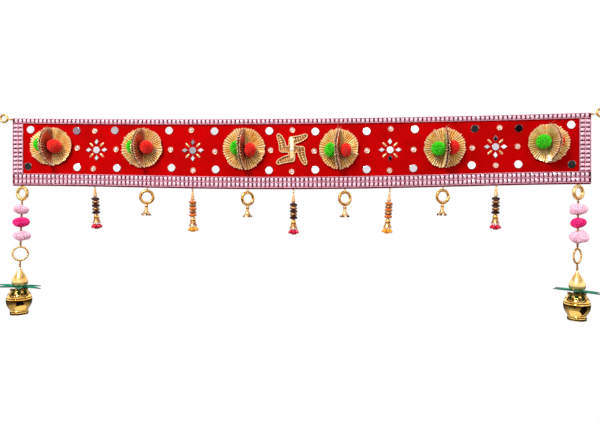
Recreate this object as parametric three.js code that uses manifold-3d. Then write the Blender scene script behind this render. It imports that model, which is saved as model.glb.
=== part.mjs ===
import * as THREE from 'three';
import { mergeVertices } from 'three/addons/utils/BufferGeometryUtils.js';
import Module from 'manifold-3d';

const wasm = await Module();
wasm.setup();

// A toran: a velvet band with stone trim, rosettes, mirrors and drops, hung over a doorway.
// Millimetres, front towards -Y, +Z up. The origin is the middle of the band's top edge.

// Band and trim
const bandLength = 954;
const bandThick = 3;
const endLift = 5.2;
const hemLift = 14.2;
const cornerDroop = 7.2;
const topTrimTall = 8.8;
const fieldTall = 87;
const bottomTrimTall = 18.5;
const hemTall = 2;
const bandTall = topTrimTall + fieldTall + bottomTrimTall + hemTall;
const sideTrimWide = 18.5;
const tapeThick = 0.9;
const stoneRowWide = 7.2;
const stoneRowTall = 2.3;
const stoneShoulder = 1.6;
const lengthSteps = 24;
const gap = 0.3;
const bandFront = -bandThick / 2;

// Ornaments glued on the velvet
const mirrorRadius = 6.4;
const stoneRadius = 4.7;
const ornamentTall = 1.1;
const ornamentRoot = 0.5;
const flowerCentreRadius = 5.8;
const diamondReach = 13.4;
const diamondLong = 5.6;
const diamondWide = 3.9;
const leafReach = 12.6;
const leafLong = 5;
const leafWide = 2;

// Each row holds one upper and one lower mirror: x and the distance below the band's top edge
const mirrorPairs = [
  { topX: -446, topBelow: 19, lowX: -450.5, lowBelow: 81 },
  { topX: -366, topBelow: 20, lowX: -365.5, lowBelow: 81.5 },
  { topX: -300.5, topBelow: 19, lowX: -297, lowBelow: 82 },
  { topX: -208, topBelow: 19, lowX: -204, lowBelow: 81 },
  { topX: -131.5, topBelow: 20, lowX: -129.5, lowBelow: 83.5 },
  { topX: -40, topBelow: 20, lowX: -40.5, lowBelow: 85 },
  { topX: 36, topBelow: 21.5, lowX: 36, lowBelow: 84.5 },
  { topX: 120, topBelow: 22, lowX: 120, lowBelow: 84.5 },
  { topX: 198, topBelow: 20, lowX: 195.5, lowBelow: 83.5 },
  { topX: 294, topBelow: 21, lowX: 289, lowBelow: 80 },
  { topX: 364, topBelow: 22, lowX: 363, lowBelow: 80 },
  { topX: 446, topBelow: 18.5, lowX: 447, lowBelow: 82 },
];
const stones = [
  { x: -335, below: 20 }, { x: -337.5, below: 83.5 }, { x: -365, below: 49 }, { x: -298.5, below: 50.5 },
  { x: -205.5, below: 50.5 }, { x: -170.5, below: 18 }, { x: -167.5, below: 85 }, { x: -131, below: 53.5 },
  { x: -38, below: 51.5 }, { x: -2, below: 18.5 }, { x: -3, below: 87 }, { x: 34, below: 53.5 },
  { x: 120.5, below: 53.5 }, { x: 159, below: 18.5 }, { x: 157, below: 86.5 }, { x: 196, below: 53 },
  { x: 290, below: 52 }, { x: 333.5, below: 20 }, { x: 327.5, below: 81 }, { x: 362, below: 51 },
];
const flowers = [
  { x: -332, below: 52 }, { x: -168, below: 52 }, { x: 158, below: 53 }, { x: 327, below: 51 },
];

// Rosettes
const rosettes = [
  { x: -408.5, below: 47, reach: 34 }, { x: -252.5, below: 48, reach: 34.2 },
  { x: -81.5, below: 49.5, reach: 35.4 }, { x: 74.5, below: 50.5, reach: 34.2 },
  { x: 245, below: 51, reach: 34.4 }, { x: 409, below: 47, reach: 33.6 },
];
const ribbonThick = 0.7;
const pleatTall = 1.7;
const pleatsPerHalf = 11;
const rimLift = 4;
const pompomRadius = 12;
const pompomCore = 9.4;
const lockNarrowing = 0.66;
const pompomOut = 14;
const pompomDrop = 2;

// Centre motif
const motif = { x: -2.5, below: 50.5 };
const motifThick = 2.4;
const motifArm = [
  [-5.6, -5.4], [-20.9, -5.4], [-21.8, 7], [-24, 16.5], [-26, 22.2], [-23, 27],
  [-17, 24], [-12.5, 16.5], [-9.5, 8.5], [-8.9, 5.6],
];
const hubRadius = 4.6;
const hubTall = 2;

// Hanging rings at the corners
const hangRing = { x: 494, z: 5.4, radius: 6.25, wire: 1.75 };
const eyeRadius = 1.1;
const eyeDrop = 2;

// Ring and bell drops along the hem; a lean in degrees swings a drop's low end to the right
const bellDrops = [
  { x: -246, turn: 22, lean: -2.5 }, { x: -76, turn: 36, lean: -1 },
  { x: 84.5, turn: 24, lean: 0 }, { x: 244, turn: 14, lean: -2.5 },
];
const bellRing = { radius: 10, wire: 2.3, below: 15.5 };
const bellEye = 1.1;
// The flower bell's profile below its ring: radius and depth
const bellProfile = [
  [0, 0], [1.6, 0], [1.6, 2.5], [3, 4.5], [3, 10], [4.2, 15], [8.2, 20], [0, 20],
];

// Beaded drops: distance of the first faceted bead below the hem and the pitch of the three
const beadedDrops = [
  { x: -336, first: 20.7, pitch: 11.3, lean: 3.2, warm: false },
  { x: -169, first: 23, pitch: 10.6, lean: 0.8, warm: true },
  { x: 0, first: 25.6, pitch: 10.6, lean: 0, warm: false },
  { x: 158, first: 25.5, pitch: 10.5, lean: -3.6, warm: true },
  { x: 329, first: 21.2, pitch: 11.1, lean: -1.7, warm: false },
];
// Profiles of the string's pieces: radius and height above the piece's own zero
const coneProfile = [[0.9, 18.6], [2.2, 17.6], [3.5, 4.6], [1.7, 3.6]];
const facetedProfile = [[2.6, 3], [6.5, 1.3], [6.5, -1.3], [2.6, -3]];
const capProfile = [[2.6, 0], [4.2, -5], [7, -13.5]];
const clusterProfile = [[7, -15], [8.8, -20.3], [4.8, -24], [0, -24]];
const capDrop = 4;

// Side hangings: distances of the piece centres below the band's lowest line at that place
const sideHangings = [
  { name: 'left', x: -461.5, lean: -6, upperTurn: -12, lowerTurn: 25, puffReaches: [12.8, 13.2, 12.6] },
  { name: 'right', x: 458.5, lean: -2.5, upperTurn: 25, lowerTurn: 36, puffReaches: [13.2, 11.8, 14.6] },
];
const upperRing = { radius: 9.7, wire: 2.7, below: 12.8 };
const puffs = [
  { below: 40.2, tilt: 0.1, colour: 0xf7adc4 },
  { below: 61.8, tilt: -0.08, colour: 0xe60d6e },
  { below: 84.8, tilt: 0.08, colour: 0xf7adc4 },
];
const puffRadius = 14.2;
const puffLobes = 7;
const lobeDepth = 0.06;
// A puff's profile around its middle, before it is drawn in to its own reach: radius and height
const puffProfile = [
  [1.7, 7.9], [7.8, 6.7], [12.8, 3.2], [puffRadius, -0.8], [11.4, -5], [5.7, -7.6], [1.7, -8.3],
];
const lowerRing = { radius: 11.5, wire: 1.8, below: 115.2 };
const coconutTop = 138.4;
// Profiles from the piece's own top: radius and height
const coconutProfile = [
  [1.7, 0], [3.4, -4.3], [7.2, -10.7], [10.4, -17], [12, -23.5], [11.9, -27.5], [10, -30.8], [0, -30.8],
];
const potProfile = [
  [0, 0], [11.8, 0], [13.8, -1.2], [13.8, -2.6], [12.8, -4], [15.8, -8], [18.2, -13], [19.5, -18],
  [19.6, -22.5], [18.5, -28], [16, -32.8], [14, -35.6], [13.3, -37.2], [13.9, -38.6], [13.9, -44.6],
  [0, -44.6],
];
const leafCount = 6;
const collarReach = 38;
// One leaf of the collar, from the notch before it: distance from the middle and angle in radians
const leafOutline = [
  [6, -Math.PI / leafCount], [14, -0.4], [22, -0.27], [31, -0.13], [collarReach, 0],
  [31, 0.13], [22, 0.27], [14, 0.4],
];
const collarThick = 1.2;
const collarTilt = 5;
const potTop = 173.2;
const collarRest = 1.5;
const beadRadius = 1.7;

const deg = Math.PI / 180;

const finish = (color, roughness, metalness) =>
  new THREE.MeshStandardMaterial({ color, roughness, metalness });
const velvet = finish(0xc8000a, 0.9, 0);
const stoneTape = finish(0xe6c9d2, 0.3, 0.4);
const gold = finish(0xd9ad57, 0.3, 1);
const goldRibbon = finish(0xe3c27a, 0.4, 0.8);
const greenYarn = finish(0x2ecc1e, 0.95, 0);
const redYarn = finish(0xf01418, 0.95, 0);
const darkBeads = finish(0x5a2a14, 0.25, 0.2);
const amberBeads = finish(0xd98a24, 0.25, 0.2);
const leafGreen = finish(0x1f9c7c, 0.5, 0);

// The ends hang a little higher than the middle, more so at the hem, whose corners droop again
const endShare = x => (2 * x / bandLength) ** 2;
const rise = x => endLift * endShare(x);
const hemRise = x => hemLift * endShare(x) - cornerDroop * endShare(x) ** 2;
const hemAt = x => hemRise(x) - bandTall;

function sagged(geometry) {
  const position = geometry.attributes.position;
  for (let i = 0; i < position.count; i++) {
    const x = position.getX(i);
    const z = position.getZ(i);
    const share = Math.min(1, Math.max(0, (-topTrimTall - z) / fieldTall));
    position.setZ(i, z + rise(x) + (hemRise(x) - rise(x)) * share);
  }
  return geometry;
}

function toSolid(geometry) {
  const bare = geometry.clone();
  bare.deleteAttribute('normal');
  bare.deleteAttribute('uv');
  const merged = mergeVertices(bare, 1e-4);
  return new wasm.Manifold(new wasm.Mesh({
    numProp: 3,
    vertProperties: new Float32Array(merged.attributes.position.array),
    triVerts: new Uint32Array(merged.index.array),
  }));
}

function toGeometry(solid) {
  const mesh = solid.getMesh();
  const geometry = new THREE.BufferGeometry();
  geometry.setAttribute('position', new THREE.BufferAttribute(new Float32Array(mesh.vertProperties), 3));
  geometry.setIndex(new THREE.BufferAttribute(new Uint32Array(mesh.triVerts), 1));
  return geometry;
}

const join = geometries => toGeometry(geometries.map(toSolid).reduce((sum, next) => sum.add(next)));

const part = new THREE.Group();

function addNode(name, geometry, material) {
  const mesh = new THREE.Mesh(geometry, material);
  mesh.name = name;
  part.add(mesh);
  return mesh;
}

// Turns a profile of [radius, height] points, listed from the top down, about the Z axis
function turned(profile, sides) {
  const rising = [...profile].reverse().map(([radius, height]) => new THREE.Vector2(radius, height));
  return new THREE.LatheGeometry(rising, sides).rotateX(Math.PI / 2);
}

function ringAcross(radius, wire, turn, wireSides = 6, steps = 16) {
  return new THREE.TorusGeometry(radius, wire, wireSides, steps)
    .rotateX(Math.PI / 2)
    .rotateZ(turn * deg);
}

// Band: one strip of velvet with its ornaments raised on the face
function standOff(shape, x, below) {
  const z = rise(x) - below;
  return shape.translate(x, bandFront + ornamentRoot, z);
}

function roundOrnament(radius, sides) {
  const tall = ornamentTall + ornamentRoot;
  return new THREE.CylinderGeometry(radius, radius, tall, sides).translate(0, -tall / 2, 0);
}

function flatOrnament(outline) {
  const shape = new THREE.Shape(outline.map(([x, z]) => new THREE.Vector2(x, z)));
  return new THREE.ExtrudeGeometry(shape, { depth: ornamentTall + ornamentRoot, bevelEnabled: false })
    .rotateX(Math.PI / 2);
}

function flowerPieces({ x, below }) {
  const pieces = [standOff(roundOrnament(flowerCentreRadius, 10), x, below)];
  for (let i = 0; i < 4; i++) {
    const along = i * 90 * deg;
    const diamond = flatOrnament([[-diamondLong, 0], [0, -diamondWide], [diamondLong, 0], [0, diamondWide]]);
    diamond.translate(diamondReach, 0, 0).rotateY(along);
    pieces.push(standOff(diamond, x, below));
    const leaf = flatOrnament([[-leafLong, 0], [0, -leafWide], [leafLong, 0], [0, leafWide]]);
    leaf.translate(leafReach, 0, 0).rotateY(along + 45 * deg);
    pieces.push(standOff(leaf, x, below));
  }
  return pieces;
}

const bandBody = sagged(new THREE.BoxGeometry(bandLength, bandThick, bandTall, lengthSteps, 1, 1)
  .translate(0, 0, -bandTall / 2));
const ornaments = mirrorPairs.flatMap(row => [
  standOff(roundOrnament(mirrorRadius, 10), row.topX, row.topBelow),
  standOff(roundOrnament(mirrorRadius, 10), row.lowX, row.lowBelow),
]);
stones.forEach(({ x, below }) => ornaments.push(standOff(roundOrnament(stoneRadius, 8), x, below)));
flowers.forEach(row => ornaments.push(...flowerPieces(row)));
addNode('band', join([bandBody, ...ornaments]), velvet);

// Stone trim: a tape with one or two raised rows of stones
function trimProfile(width, rows) {
  const shape = new THREE.Shape();
  const margin = (width - rows * stoneRowWide) / (rows + 1);
  shape.moveTo(0, 0);
  shape.lineTo(width, 0);
  shape.lineTo(width, tapeThick);
  for (let row = rows - 1; row >= 0; row--) {
    const start = margin + row * (stoneRowWide + margin);
    shape.lineTo(start + stoneRowWide, tapeThick);
    shape.lineTo(start + stoneRowWide - stoneShoulder, stoneRowTall);
    shape.lineTo(start + stoneShoulder, stoneRowTall);
    shape.lineTo(start, tapeThick);
  }
  shape.lineTo(0, tapeThick);
  return shape;
}

function trimAlong(width, rows, lowEdge) {
  const strip = new THREE.ExtrudeGeometry(trimProfile(width, rows),
    { depth: bandLength, steps: lengthSteps, bevelEnabled: false });
  strip.applyMatrix4(new THREE.Matrix4().set(0, 0, 1, 0, 0, -1, 0, 0, 1, 0, 0, 0, 0, 0, 0, 1));
  strip.translate(-bandLength / 2, bandFront - gap, lowEdge);
  return sagged(strip);
}

function trimUpright(tall, left, lowEdge) {
  const strip = new THREE.ExtrudeGeometry(trimProfile(sideTrimWide, 2),
    { depth: tall, steps: 1, bevelEnabled: false });
  strip.applyMatrix4(new THREE.Matrix4().set(-1, 0, 0, 0, 0, -1, 0, 0, 0, 0, 1, 0, 0, 0, 0, 1));
  strip.translate(left + sideTrimWide, bandFront - gap, lowEdge);
  return sagged(strip);
}

const fieldLow = -topTrimTall - fieldTall;
const uprightTall = fieldTall - 2 * gap;
addNode('trim_top', trimAlong(topTrimTall, 1, -topTrimTall), stoneTape);
addNode('trim_bottom', trimAlong(bottomTrimTall, 2, fieldLow - bottomTrimTall), stoneTape);
addNode('trim_left', trimUpright(uprightTall, -bandLength / 2, fieldLow + gap), stoneTape);
addNode('trim_right', trimUpright(uprightTall, bandLength / 2 - sideTrimWide, fieldLow + gap), stoneTape);

// Hanging rings: a wire ring with an eye that is sewn to the band's corner
for (const [name, side] of [['hang_ring_left', -1], ['hang_ring_right', 1]]) {
  const ring = ringAcross(hangRing.radius, hangRing.wire, 0, 6, 14);
  const eyeReach = hangRing.x - hangRing.radius - bandLength / 2 - gap;
  const eye = new THREE.CylinderGeometry(eyeRadius, eyeRadius, eyeReach, 6)
    .rotateZ(Math.PI / 2)
    .translate(-side * (hangRing.radius + eyeReach / 2), 0, -eyeDrop);
  addNode(name, join([ring, eye]).translate(side * hangRing.x, 0, hangRing.z), gold);
}

// Rosettes: two pleated discs back to back, each with half its face folded out from the band
function foldedDisc(side, discRadius) {
  const steps = pleatsPerHalf * 2;
  const backX = side * gap / 2;
  const frontX = backX + side * ribbonThick;
  const backY = bandFront - gap;
  const frontY = backY - ribbonThick;
  const points = [[frontX, frontY, 0], [backX, backY, 0]];
  const faces = [];
  const rim = (fin, step) => {
    const angle = Math.PI * step / steps;
    const out = discRadius * Math.sin(angle);
    const up = discRadius * Math.cos(angle);
    const pleat = step % 2 === 1 ? pleatTall : 0;
    const lift = rimLift * Math.sin(angle);
    const front = fin
      ? [frontX + side * pleat, frontY - out, up]
      : [frontX + side * out, frontY - lift - pleat, up];
    const back = fin ? [backX, backY - out, up] : [backX + side * out, backY - lift, up];
    points.push(front, back);
    return points.length - 2;
  };
  const top = rim(false, 0);
  const bottom = rim(false, steps);
  for (const fin of [false, true]) {
    let previous = top;
    for (let step = 1; step <= steps; step++) {
      const next = step === steps ? bottom : rim(fin, step);
      const quad = [[0, previous, next], [1, next + 1, previous + 1],
        [previous, previous + 1, next + 1], [previous, next + 1, next]];
      const inward = fin !== side > 0;
      quad.forEach(([a, b, c]) => faces.push(...(inward ? [a, c, b] : [a, b, c])));
      previous = next;
    }
  }
  const geometry = new THREE.BufferGeometry();
  geometry.setAttribute('position', new THREE.Float32BufferAttribute(points.flat(), 3));
  geometry.setIndex(faces);
  return geometry;
}

// A pompom: a yarn ball whose cut locks stand apart from each other above their roots
function pompom() {
  const core = new THREE.IcosahedronGeometry(pompomCore, 0);
  const position = core.attributes.position;
  const points = [];
  const corner = new THREE.Vector3();
  for (let face = 0; face < position.count; face += 3) {
    const root = [0, 1, 2].map(i => corner.fromBufferAttribute(position, face + i).clone());
    const middle = root[0].clone().add(root[1]).add(root[2]).divideScalar(3);
    const tip = root.map(point => middle.clone().lerp(point, lockNarrowing).setLength(pompomRadius));
    for (let i = 0; i < 3; i++) {
      const j = (i + 1) % 3;
      points.push(root[i], root[j], tip[j], root[i], tip[j], tip[i]);
    }
    points.push(...tip);
  }
  const geometry = new THREE.BufferGeometry();
  geometry.setAttribute('position', new THREE.Float32BufferAttribute(points.flatMap(p => p.toArray()), 3));
  return geometry;
}

const pompomDepth = bandFront - gap - ribbonThick - pleatTall - gap - pompomRadius;
rosettes.forEach(({ x, below, reach }, index) => {
  const z = rise(x) - below;
  const number = index + 1;
  for (const [word, side] of [['left', -1], ['right', 1]]) {
    addNode(`rosette_${number}_${word}`, foldedDisc(side, reach), goldRibbon).position.set(x, 0, z);
  }
  for (const [word, side, yarn] of [['green', -1, greenYarn], ['red', 1, redYarn]]) {
    addNode(`pompom_${number}_${word}`, pompom(), yarn)
      .position.set(x + side * pompomOut, pompomDepth, z - pompomDrop);
  }
});

// Centre motif: a swastik with leaf-shaped arms and a stone at its hub
const motifCentre = new THREE.Vector2();
const motifOutline = [0, 1, 2, 3].flatMap(quarter => motifArm.map(([x, z]) =>
  new THREE.Vector2(x, z).rotateAround(motifCentre, -quarter * 90 * deg)));
const motifPlate = new THREE.ExtrudeGeometry(new THREE.Shape(motifOutline),
  { depth: motifThick, bevelEnabled: false })
  .rotateX(Math.PI / 2);
const motifHub = new THREE.CylinderGeometry(hubRadius * 0.7, hubRadius, hubTall + motifThick / 2, 10)
  .rotateX(Math.PI)
  .translate(0, -motifThick - hubTall / 2 + motifThick / 4, 0);
addNode('centre_motif', join([motifPlate, motifHub]), gold)
  .position.set(motif.x, bandFront - gap, rise(motif.x) - motif.below);

// Ring and bell drops: a thread eye, a beaded ring and a flower bell below it
const hangDrop = (mesh, x, lean) => {
  mesh.position.set(x, 0, hemAt(x));
  mesh.rotation.y = -lean * deg;
};

bellDrops.forEach(({ x, turn, lean }, index) => {
  const { radius, wire, below } = bellRing;
  const ring = ringAcross(radius, wire, turn).translate(0, 0, -below);
  const ringTop = -below + radius + wire;
  const eye = turned([[0, -gap], [bellEye, -gap], [bellEye, ringTop - wire], [0, ringTop - wire]], 6);
  const bell = turned(bellProfile.map(([r, depth]) => [r, -below - radius - depth]), 8);
  const drop = join([ring, eye, bell]);
  hangDrop(addNode(`bell_drop_${index + 1}`, drop, gold), x, lean);
});

// Beaded drops: cone, three faceted beads, a bell cap and a cluster of small drops
beadedDrops.forEach(({ x, first, pitch, lean, warm }, index) => {
  const at = (piece, zero) => piece.map(([radius, height]) => [radius, zero + height]);
  const last = first + 2 * pitch;
  const profile = [
    [0, -gap], [coneProfile[0][0], -gap], ...at(coneProfile, -first),
    ...[0, 1, 2].flatMap(bead => at(facetedProfile, -first - bead * pitch)),
    ...at(capProfile, -last - capDrop), ...at(clusterProfile, -last - capDrop),
  ];
  const beads = warm ? amberBeads : darkBeads;
  hangDrop(addNode(`beaded_drop_${index + 1}`, turned(profile, 8), beads), x, lean);
});

// Side hangings
function puff({ tilt }, reach, reachUp, reachDown) {
  const body = turned([
    [0, reachUp], [beadRadius, reachUp], ...puffProfile, [beadRadius, -reachDown], [0, -reachDown],
  ], 2 * puffLobes);
  const position = body.attributes.position;
  for (let i = 0; i < position.count; i++) {
    const x = position.getX(i);
    const y = position.getY(i);
    const angle = Math.atan2(y, x);
    const share = Math.min(1, Math.max(0, Math.hypot(x, y) - beadRadius) / (puffRadius - beadRadius));
    const drawnIn = 1 + (reach / puffRadius - 1) * share;
    const lobe = drawnIn * (1 + lobeDepth * share * Math.cos(puffLobes * angle));
    position.setXYZ(i, x * lobe, y * lobe, position.getZ(i) + share * reach * tilt * Math.cos(angle));
  }
  return body;
}

function leafCollar() {
  const outline = [];
  for (let i = 0; i < leafCount; i++) {
    const middle = i * 2 * Math.PI / leafCount;
    for (const [reach, angle] of leafOutline) {
      outline.push(new THREE.Vector2(reach * Math.cos(middle + angle), reach * Math.sin(middle + angle)));
    }
  }
  return new THREE.ExtrudeGeometry(new THREE.Shape(outline), { depth: collarThick, bevelEnabled: false })
    .rotateY(collarTilt * deg);
}

function sideHanging({ name, x, lean, upperTurn, lowerTurn, puffReaches }) {
  const hem = hemAt(x);
  const leanAt = below => lean * Math.min(1, below / potTop);
  const place = (node, geometry, material, below) =>
    addNode(`side_${name}_${node}`, geometry, material).position.set(x + leanAt(below), 0, hem - below);

  const upper = ringAcross(upperRing.radius, upperRing.wire, upperTurn);
  place('upper_ring', upper, gold, upperRing.below);

  const upperLow = upperRing.below + upperRing.radius + upperRing.wire;
  const lowerHigh = lowerRing.below - lowerRing.radius - lowerRing.wire;
  puffs.forEach((row, index) => {
    const start = index === 0 ? upperLow + gap : (puffs[index - 1].below + row.below + gap) / 2;
    const end = index === 2 ? lowerHigh - gap : (row.below + puffs[index + 1].below - gap) / 2;
    const reachUp = row.below - start;
    const reachDown = end - row.below;
    const yarn = finish(row.colour, 0.9, 0);
    place(`puff_${index + 1}`, puff(row, puffReaches[index], reachUp, reachDown), yarn, row.below);
  });

  place('lower_ring', ringAcross(lowerRing.radius, lowerRing.wire, lowerTurn), gold, lowerRing.below);

  const lowerLow = lowerRing.below + lowerRing.radius + lowerRing.wire;
  const stem = coconutTop - lowerLow - gap;
  place('coconut', turned([[0, stem], [beadRadius, stem], ...coconutProfile], 12), gold, coconutTop);

  place('leaves', leafCollar(), leafGreen, potTop - collarRest);

  place('pot', turned(potProfile, 14), gold, potTop);
}

sideHangings.forEach(sideHanging);

export default part;
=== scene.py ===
import math
import random

import bpy
from mathutils import Euler, Matrix, Vector, noise


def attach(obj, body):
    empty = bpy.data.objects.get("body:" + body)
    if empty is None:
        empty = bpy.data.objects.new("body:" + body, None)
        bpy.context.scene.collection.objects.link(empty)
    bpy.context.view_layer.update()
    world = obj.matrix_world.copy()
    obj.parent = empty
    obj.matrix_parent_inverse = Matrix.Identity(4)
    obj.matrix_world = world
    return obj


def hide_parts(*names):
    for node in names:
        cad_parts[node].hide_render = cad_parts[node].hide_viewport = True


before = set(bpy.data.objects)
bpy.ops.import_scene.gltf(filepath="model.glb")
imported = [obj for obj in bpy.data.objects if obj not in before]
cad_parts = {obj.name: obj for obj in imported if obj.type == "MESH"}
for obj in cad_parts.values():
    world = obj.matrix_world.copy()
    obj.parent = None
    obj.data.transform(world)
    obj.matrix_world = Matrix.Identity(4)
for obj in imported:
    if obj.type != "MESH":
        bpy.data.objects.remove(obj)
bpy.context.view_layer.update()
mm = 0.001
deg = math.pi / 180

# The toran hangs over a doorway and is seen level from the front, a little right of its middle.
# A pale room lights it from all round, with a darker floor line, and a broad lamp up on the left.
camera_data = bpy.data.cameras.new("front_camera")
camera_data.lens = 28.8
camera = bpy.data.objects.new("front_camera", camera_data)
camera.location = (49.4 * mm, -792 * mm, -153.8 * mm)
camera.rotation_euler = (90 * deg, 0, 2.8 * deg)
bpy.context.scene.collection.objects.link(camera)
bpy.context.scene.camera = camera
bpy.context.scene.view_settings.view_transform = "Standard"


class Flow:
    """A number on its way through a node tree, so that a rule reads as a formula."""

    def __init__(self, source):
        self.socket = source.outputs[0] if isinstance(source, bpy.types.Node) else source

    def do(self, operation, *others):
        node = self.socket.id_data.nodes.new("ShaderNodeMath")
        node.operation = operation
        for socket, value in zip(node.inputs, (self, *others)):
            feed(socket, value)
        return Flow(node)

    def __add__(self, other):
        return self.do("ADD", other)

    def __sub__(self, other):
        return self.do("SUBTRACT", other)

    def __mul__(self, other):
        return self.do("MULTIPLY", other)

    def __truediv__(self, other):
        return self.do("DIVIDE", other)


def feed(socket, value):
    """Links a Flow, a socket or a node's first output into a socket, or sets its own value."""
    if isinstance(value, bpy.types.Node):
        value = Flow(value)
    if isinstance(value, Flow):
        value = value.socket
    if isinstance(value, bpy.types.NodeSocket):
        socket.id_data.links.new(value, socket)
    else:
        socket.default_value = value


def add(tree, kind, inputs=(), **settings):
    """A node of a kind with its settings, and its inputs fed by name or number."""
    node = tree.nodes.new(kind)
    for name, value in settings.items():
        setattr(node, name, value)
    for name, value in dict(inputs).items():
        feed(node.inputs[name], value)
    return node


def scaled(tree, vector, amount):
    """A vector or colour made greater or less by an amount."""
    return add(tree, "ShaderNodeVectorMath", {0: vector, "Scale": amount}, operation="SCALE")


room = bpy.data.worlds.new("pale_room")
room.use_nodes = True
bpy.context.scene.world = room
room_tree = room.node_tree
look = add(room_tree, "ShaderNodeTexCoord").outputs["Generated"]
look_parts = add(room_tree, "ShaderNodeSeparateXYZ", {0: look})
look_height = add(room_tree, "ShaderNodeMapRange", {"Value": look_parts.outputs["Z"], "From Min": -1})
walls = add(room_tree, "ShaderNodeValToRGB", {"Fac": look_height})
# Brightness by height: floor, low shade, bright walls, a band of shade, soft ceiling
room_heights = [
    (0.0, 0.36), (0.22, 0.26), (0.34, 0.06), (0.42, 0.02), (0.475, 0.03), (0.494, 0.82),
    (0.70, 0.86), (0.735, 0.22), (0.80, 0.22), (0.84, 0.66), (1.0, 0.70),
]
while len(walls.color_ramp.elements) < len(room_heights):
    walls.color_ramp.elements.new(0.5)
for element, (place, level) in zip(walls.color_ramp.elements, room_heights):
    element.position = place
    element.color = (level, level, level, 1)
clutter = add(room_tree, "ShaderNodeTexNoise", {"Vector": look, "Scale": 2.6, "Detail": 1})
clutter_level = add(room_tree, "ShaderNodeMapRange", {
    "Value": clutter, "From Min": 0.35, "From Max": 0.6, "To Min": 0.72, "To Max": 1.1,
})
# A dark doorway stands low on the right, behind the camera
doorway = add(room_tree, "ShaderNodeVectorMath", {
    0: look, 1: (0.52, -0.62, -0.59),
}, operation="DOT_PRODUCT")
doorway_level = add(room_tree, "ShaderNodeMapRange", {
    "Value": doorway.outputs["Value"], "From Min": 0.83, "From Max": 0.87, "To Min": 1, "To Max": 0.03,
})
shaded_walls = scaled(room_tree, walls, Flow(clutter_level) * doorway_level)
room_light = room_tree.nodes["Background"]
feed(room_light.inputs["Color"], shaded_walls)
feed(room_light.inputs["Strength"], 1.9)
plain_white = add(room_tree, "ShaderNodeBackground", {"Color": (1, 1, 1, 1)})
seen = add(room_tree, "ShaderNodeLightPath")
room_mix = add(room_tree, "ShaderNodeMixShader", {
    "Fac": seen.outputs["Is Camera Ray"], 1: room_light, 2: plain_white,
})
feed(room_tree.nodes["World Output"].inputs["Surface"], room_mix)

lamp_data = bpy.data.lights.new("broad_lamp", "AREA")
lamp_data.energy = 28
lamp_data.size = 0.4
lamp = bpy.data.objects.new("broad_lamp", lamp_data)
lamp.location = (-0.6, -1.15, 0.98)
lamp.rotation_euler = (Vector((0, 0, -0.12)) - lamp.location).to_track_quat("-Z", "Y").to_euler()
bpy.context.scene.collection.objects.link(lamp)

# The velvet band is one strip of red velvet stiffened with canvas, its lower edge turned up as a hem.
# It hangs flat, bowed a little so that the middle is lower, and swells softly between its trims.
band_long = 954
band_thick = 3
band_front = -band_thick / 2
end_lift = 5.2
hem_lift = 14.2
corner_droop = 7.2
top_trim_tall = 8.8
field_tall = 87
bottom_trim_tall = 18.5
hem_tall = 2
band_tall = top_trim_tall + field_tall + bottom_trim_tall + hem_tall
gap = 0.3


def end_share(x):
    return (2 * x / band_long) ** 2


def rise(x):
    """How far the band's top edge lies above its middle at a distance from it."""
    return end_lift * end_share(x)


def hem_rise(x):
    """The same for its hem, which lifts more towards the ends and droops again at the corners."""
    return hem_lift * end_share(x) - corner_droop * end_share(x) ** 2


def hem_at(x):
    return hem_rise(x) - band_tall


def on_band(x, below):
    """The height of a point of the band that lies that far below its top edge in the middle."""
    share = min(1, max(0, (below - top_trim_tall) / field_tall))
    return rise(x) + (hem_rise(x) - rise(x)) * share - below


def loft(rings):
    """Points and faces of a skin over closed rings of equal count, with both ends capped."""
    count = len(rings[0])
    points = [point for ring in rings for point in ring]
    faces = [tuple(reversed(range(count)))]
    for start in range(0, count * (len(rings) - 1), count):
        for k in range(count):
            after = (k + 1) % count
            faces.append((start + k, start + after, start + count + after, start + count + k))
    last = count * (len(rings) - 1)
    faces.append(tuple(range(last, last + count)))
    return points, faces


def make_piece(name, shape, *finishes, sharp=38):
    """A mesh object at the origin from points in millimetres, smooth up to a sharp angle."""
    points, faces = shape
    mesh = bpy.data.meshes.new(name)
    mesh.from_pydata([Vector(point) * mm for point in points], [], faces)
    for material in finishes:
        mesh.materials.append(material)
    mesh.polygons.foreach_set("use_smooth", [True] * len(mesh.polygons))
    mesh.set_sharp_from_angle(angle=sharp * deg)
    piece = bpy.data.objects.new(name, mesh)
    bpy.context.scene.collection.objects.link(piece)
    return piece


def mark(piece, name, rule):
    """Stores a value on every vertex, worked out from its place in millimetres."""
    layer = piece.data.attributes.new(name, "FLOAT", "POINT")
    for vertex, item in zip(piece.data.vertices, layer.data):
        item.value = rule(*(vertex.co / mm))


def fix(piece, slot_name, *nodes):
    """The piece belongs to the one body and stands for its solids; slot_name is not used."""
    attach(piece, "root")
    if nodes:
        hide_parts(*nodes)
    return piece


def tone(red, green, blue):
    """A colour as the eye reads it, from 0 to 255, turned into the shader's own scale."""
    return tuple((level / 255) ** 2.2 for level in (red, green, blue)) + (1,)


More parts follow.
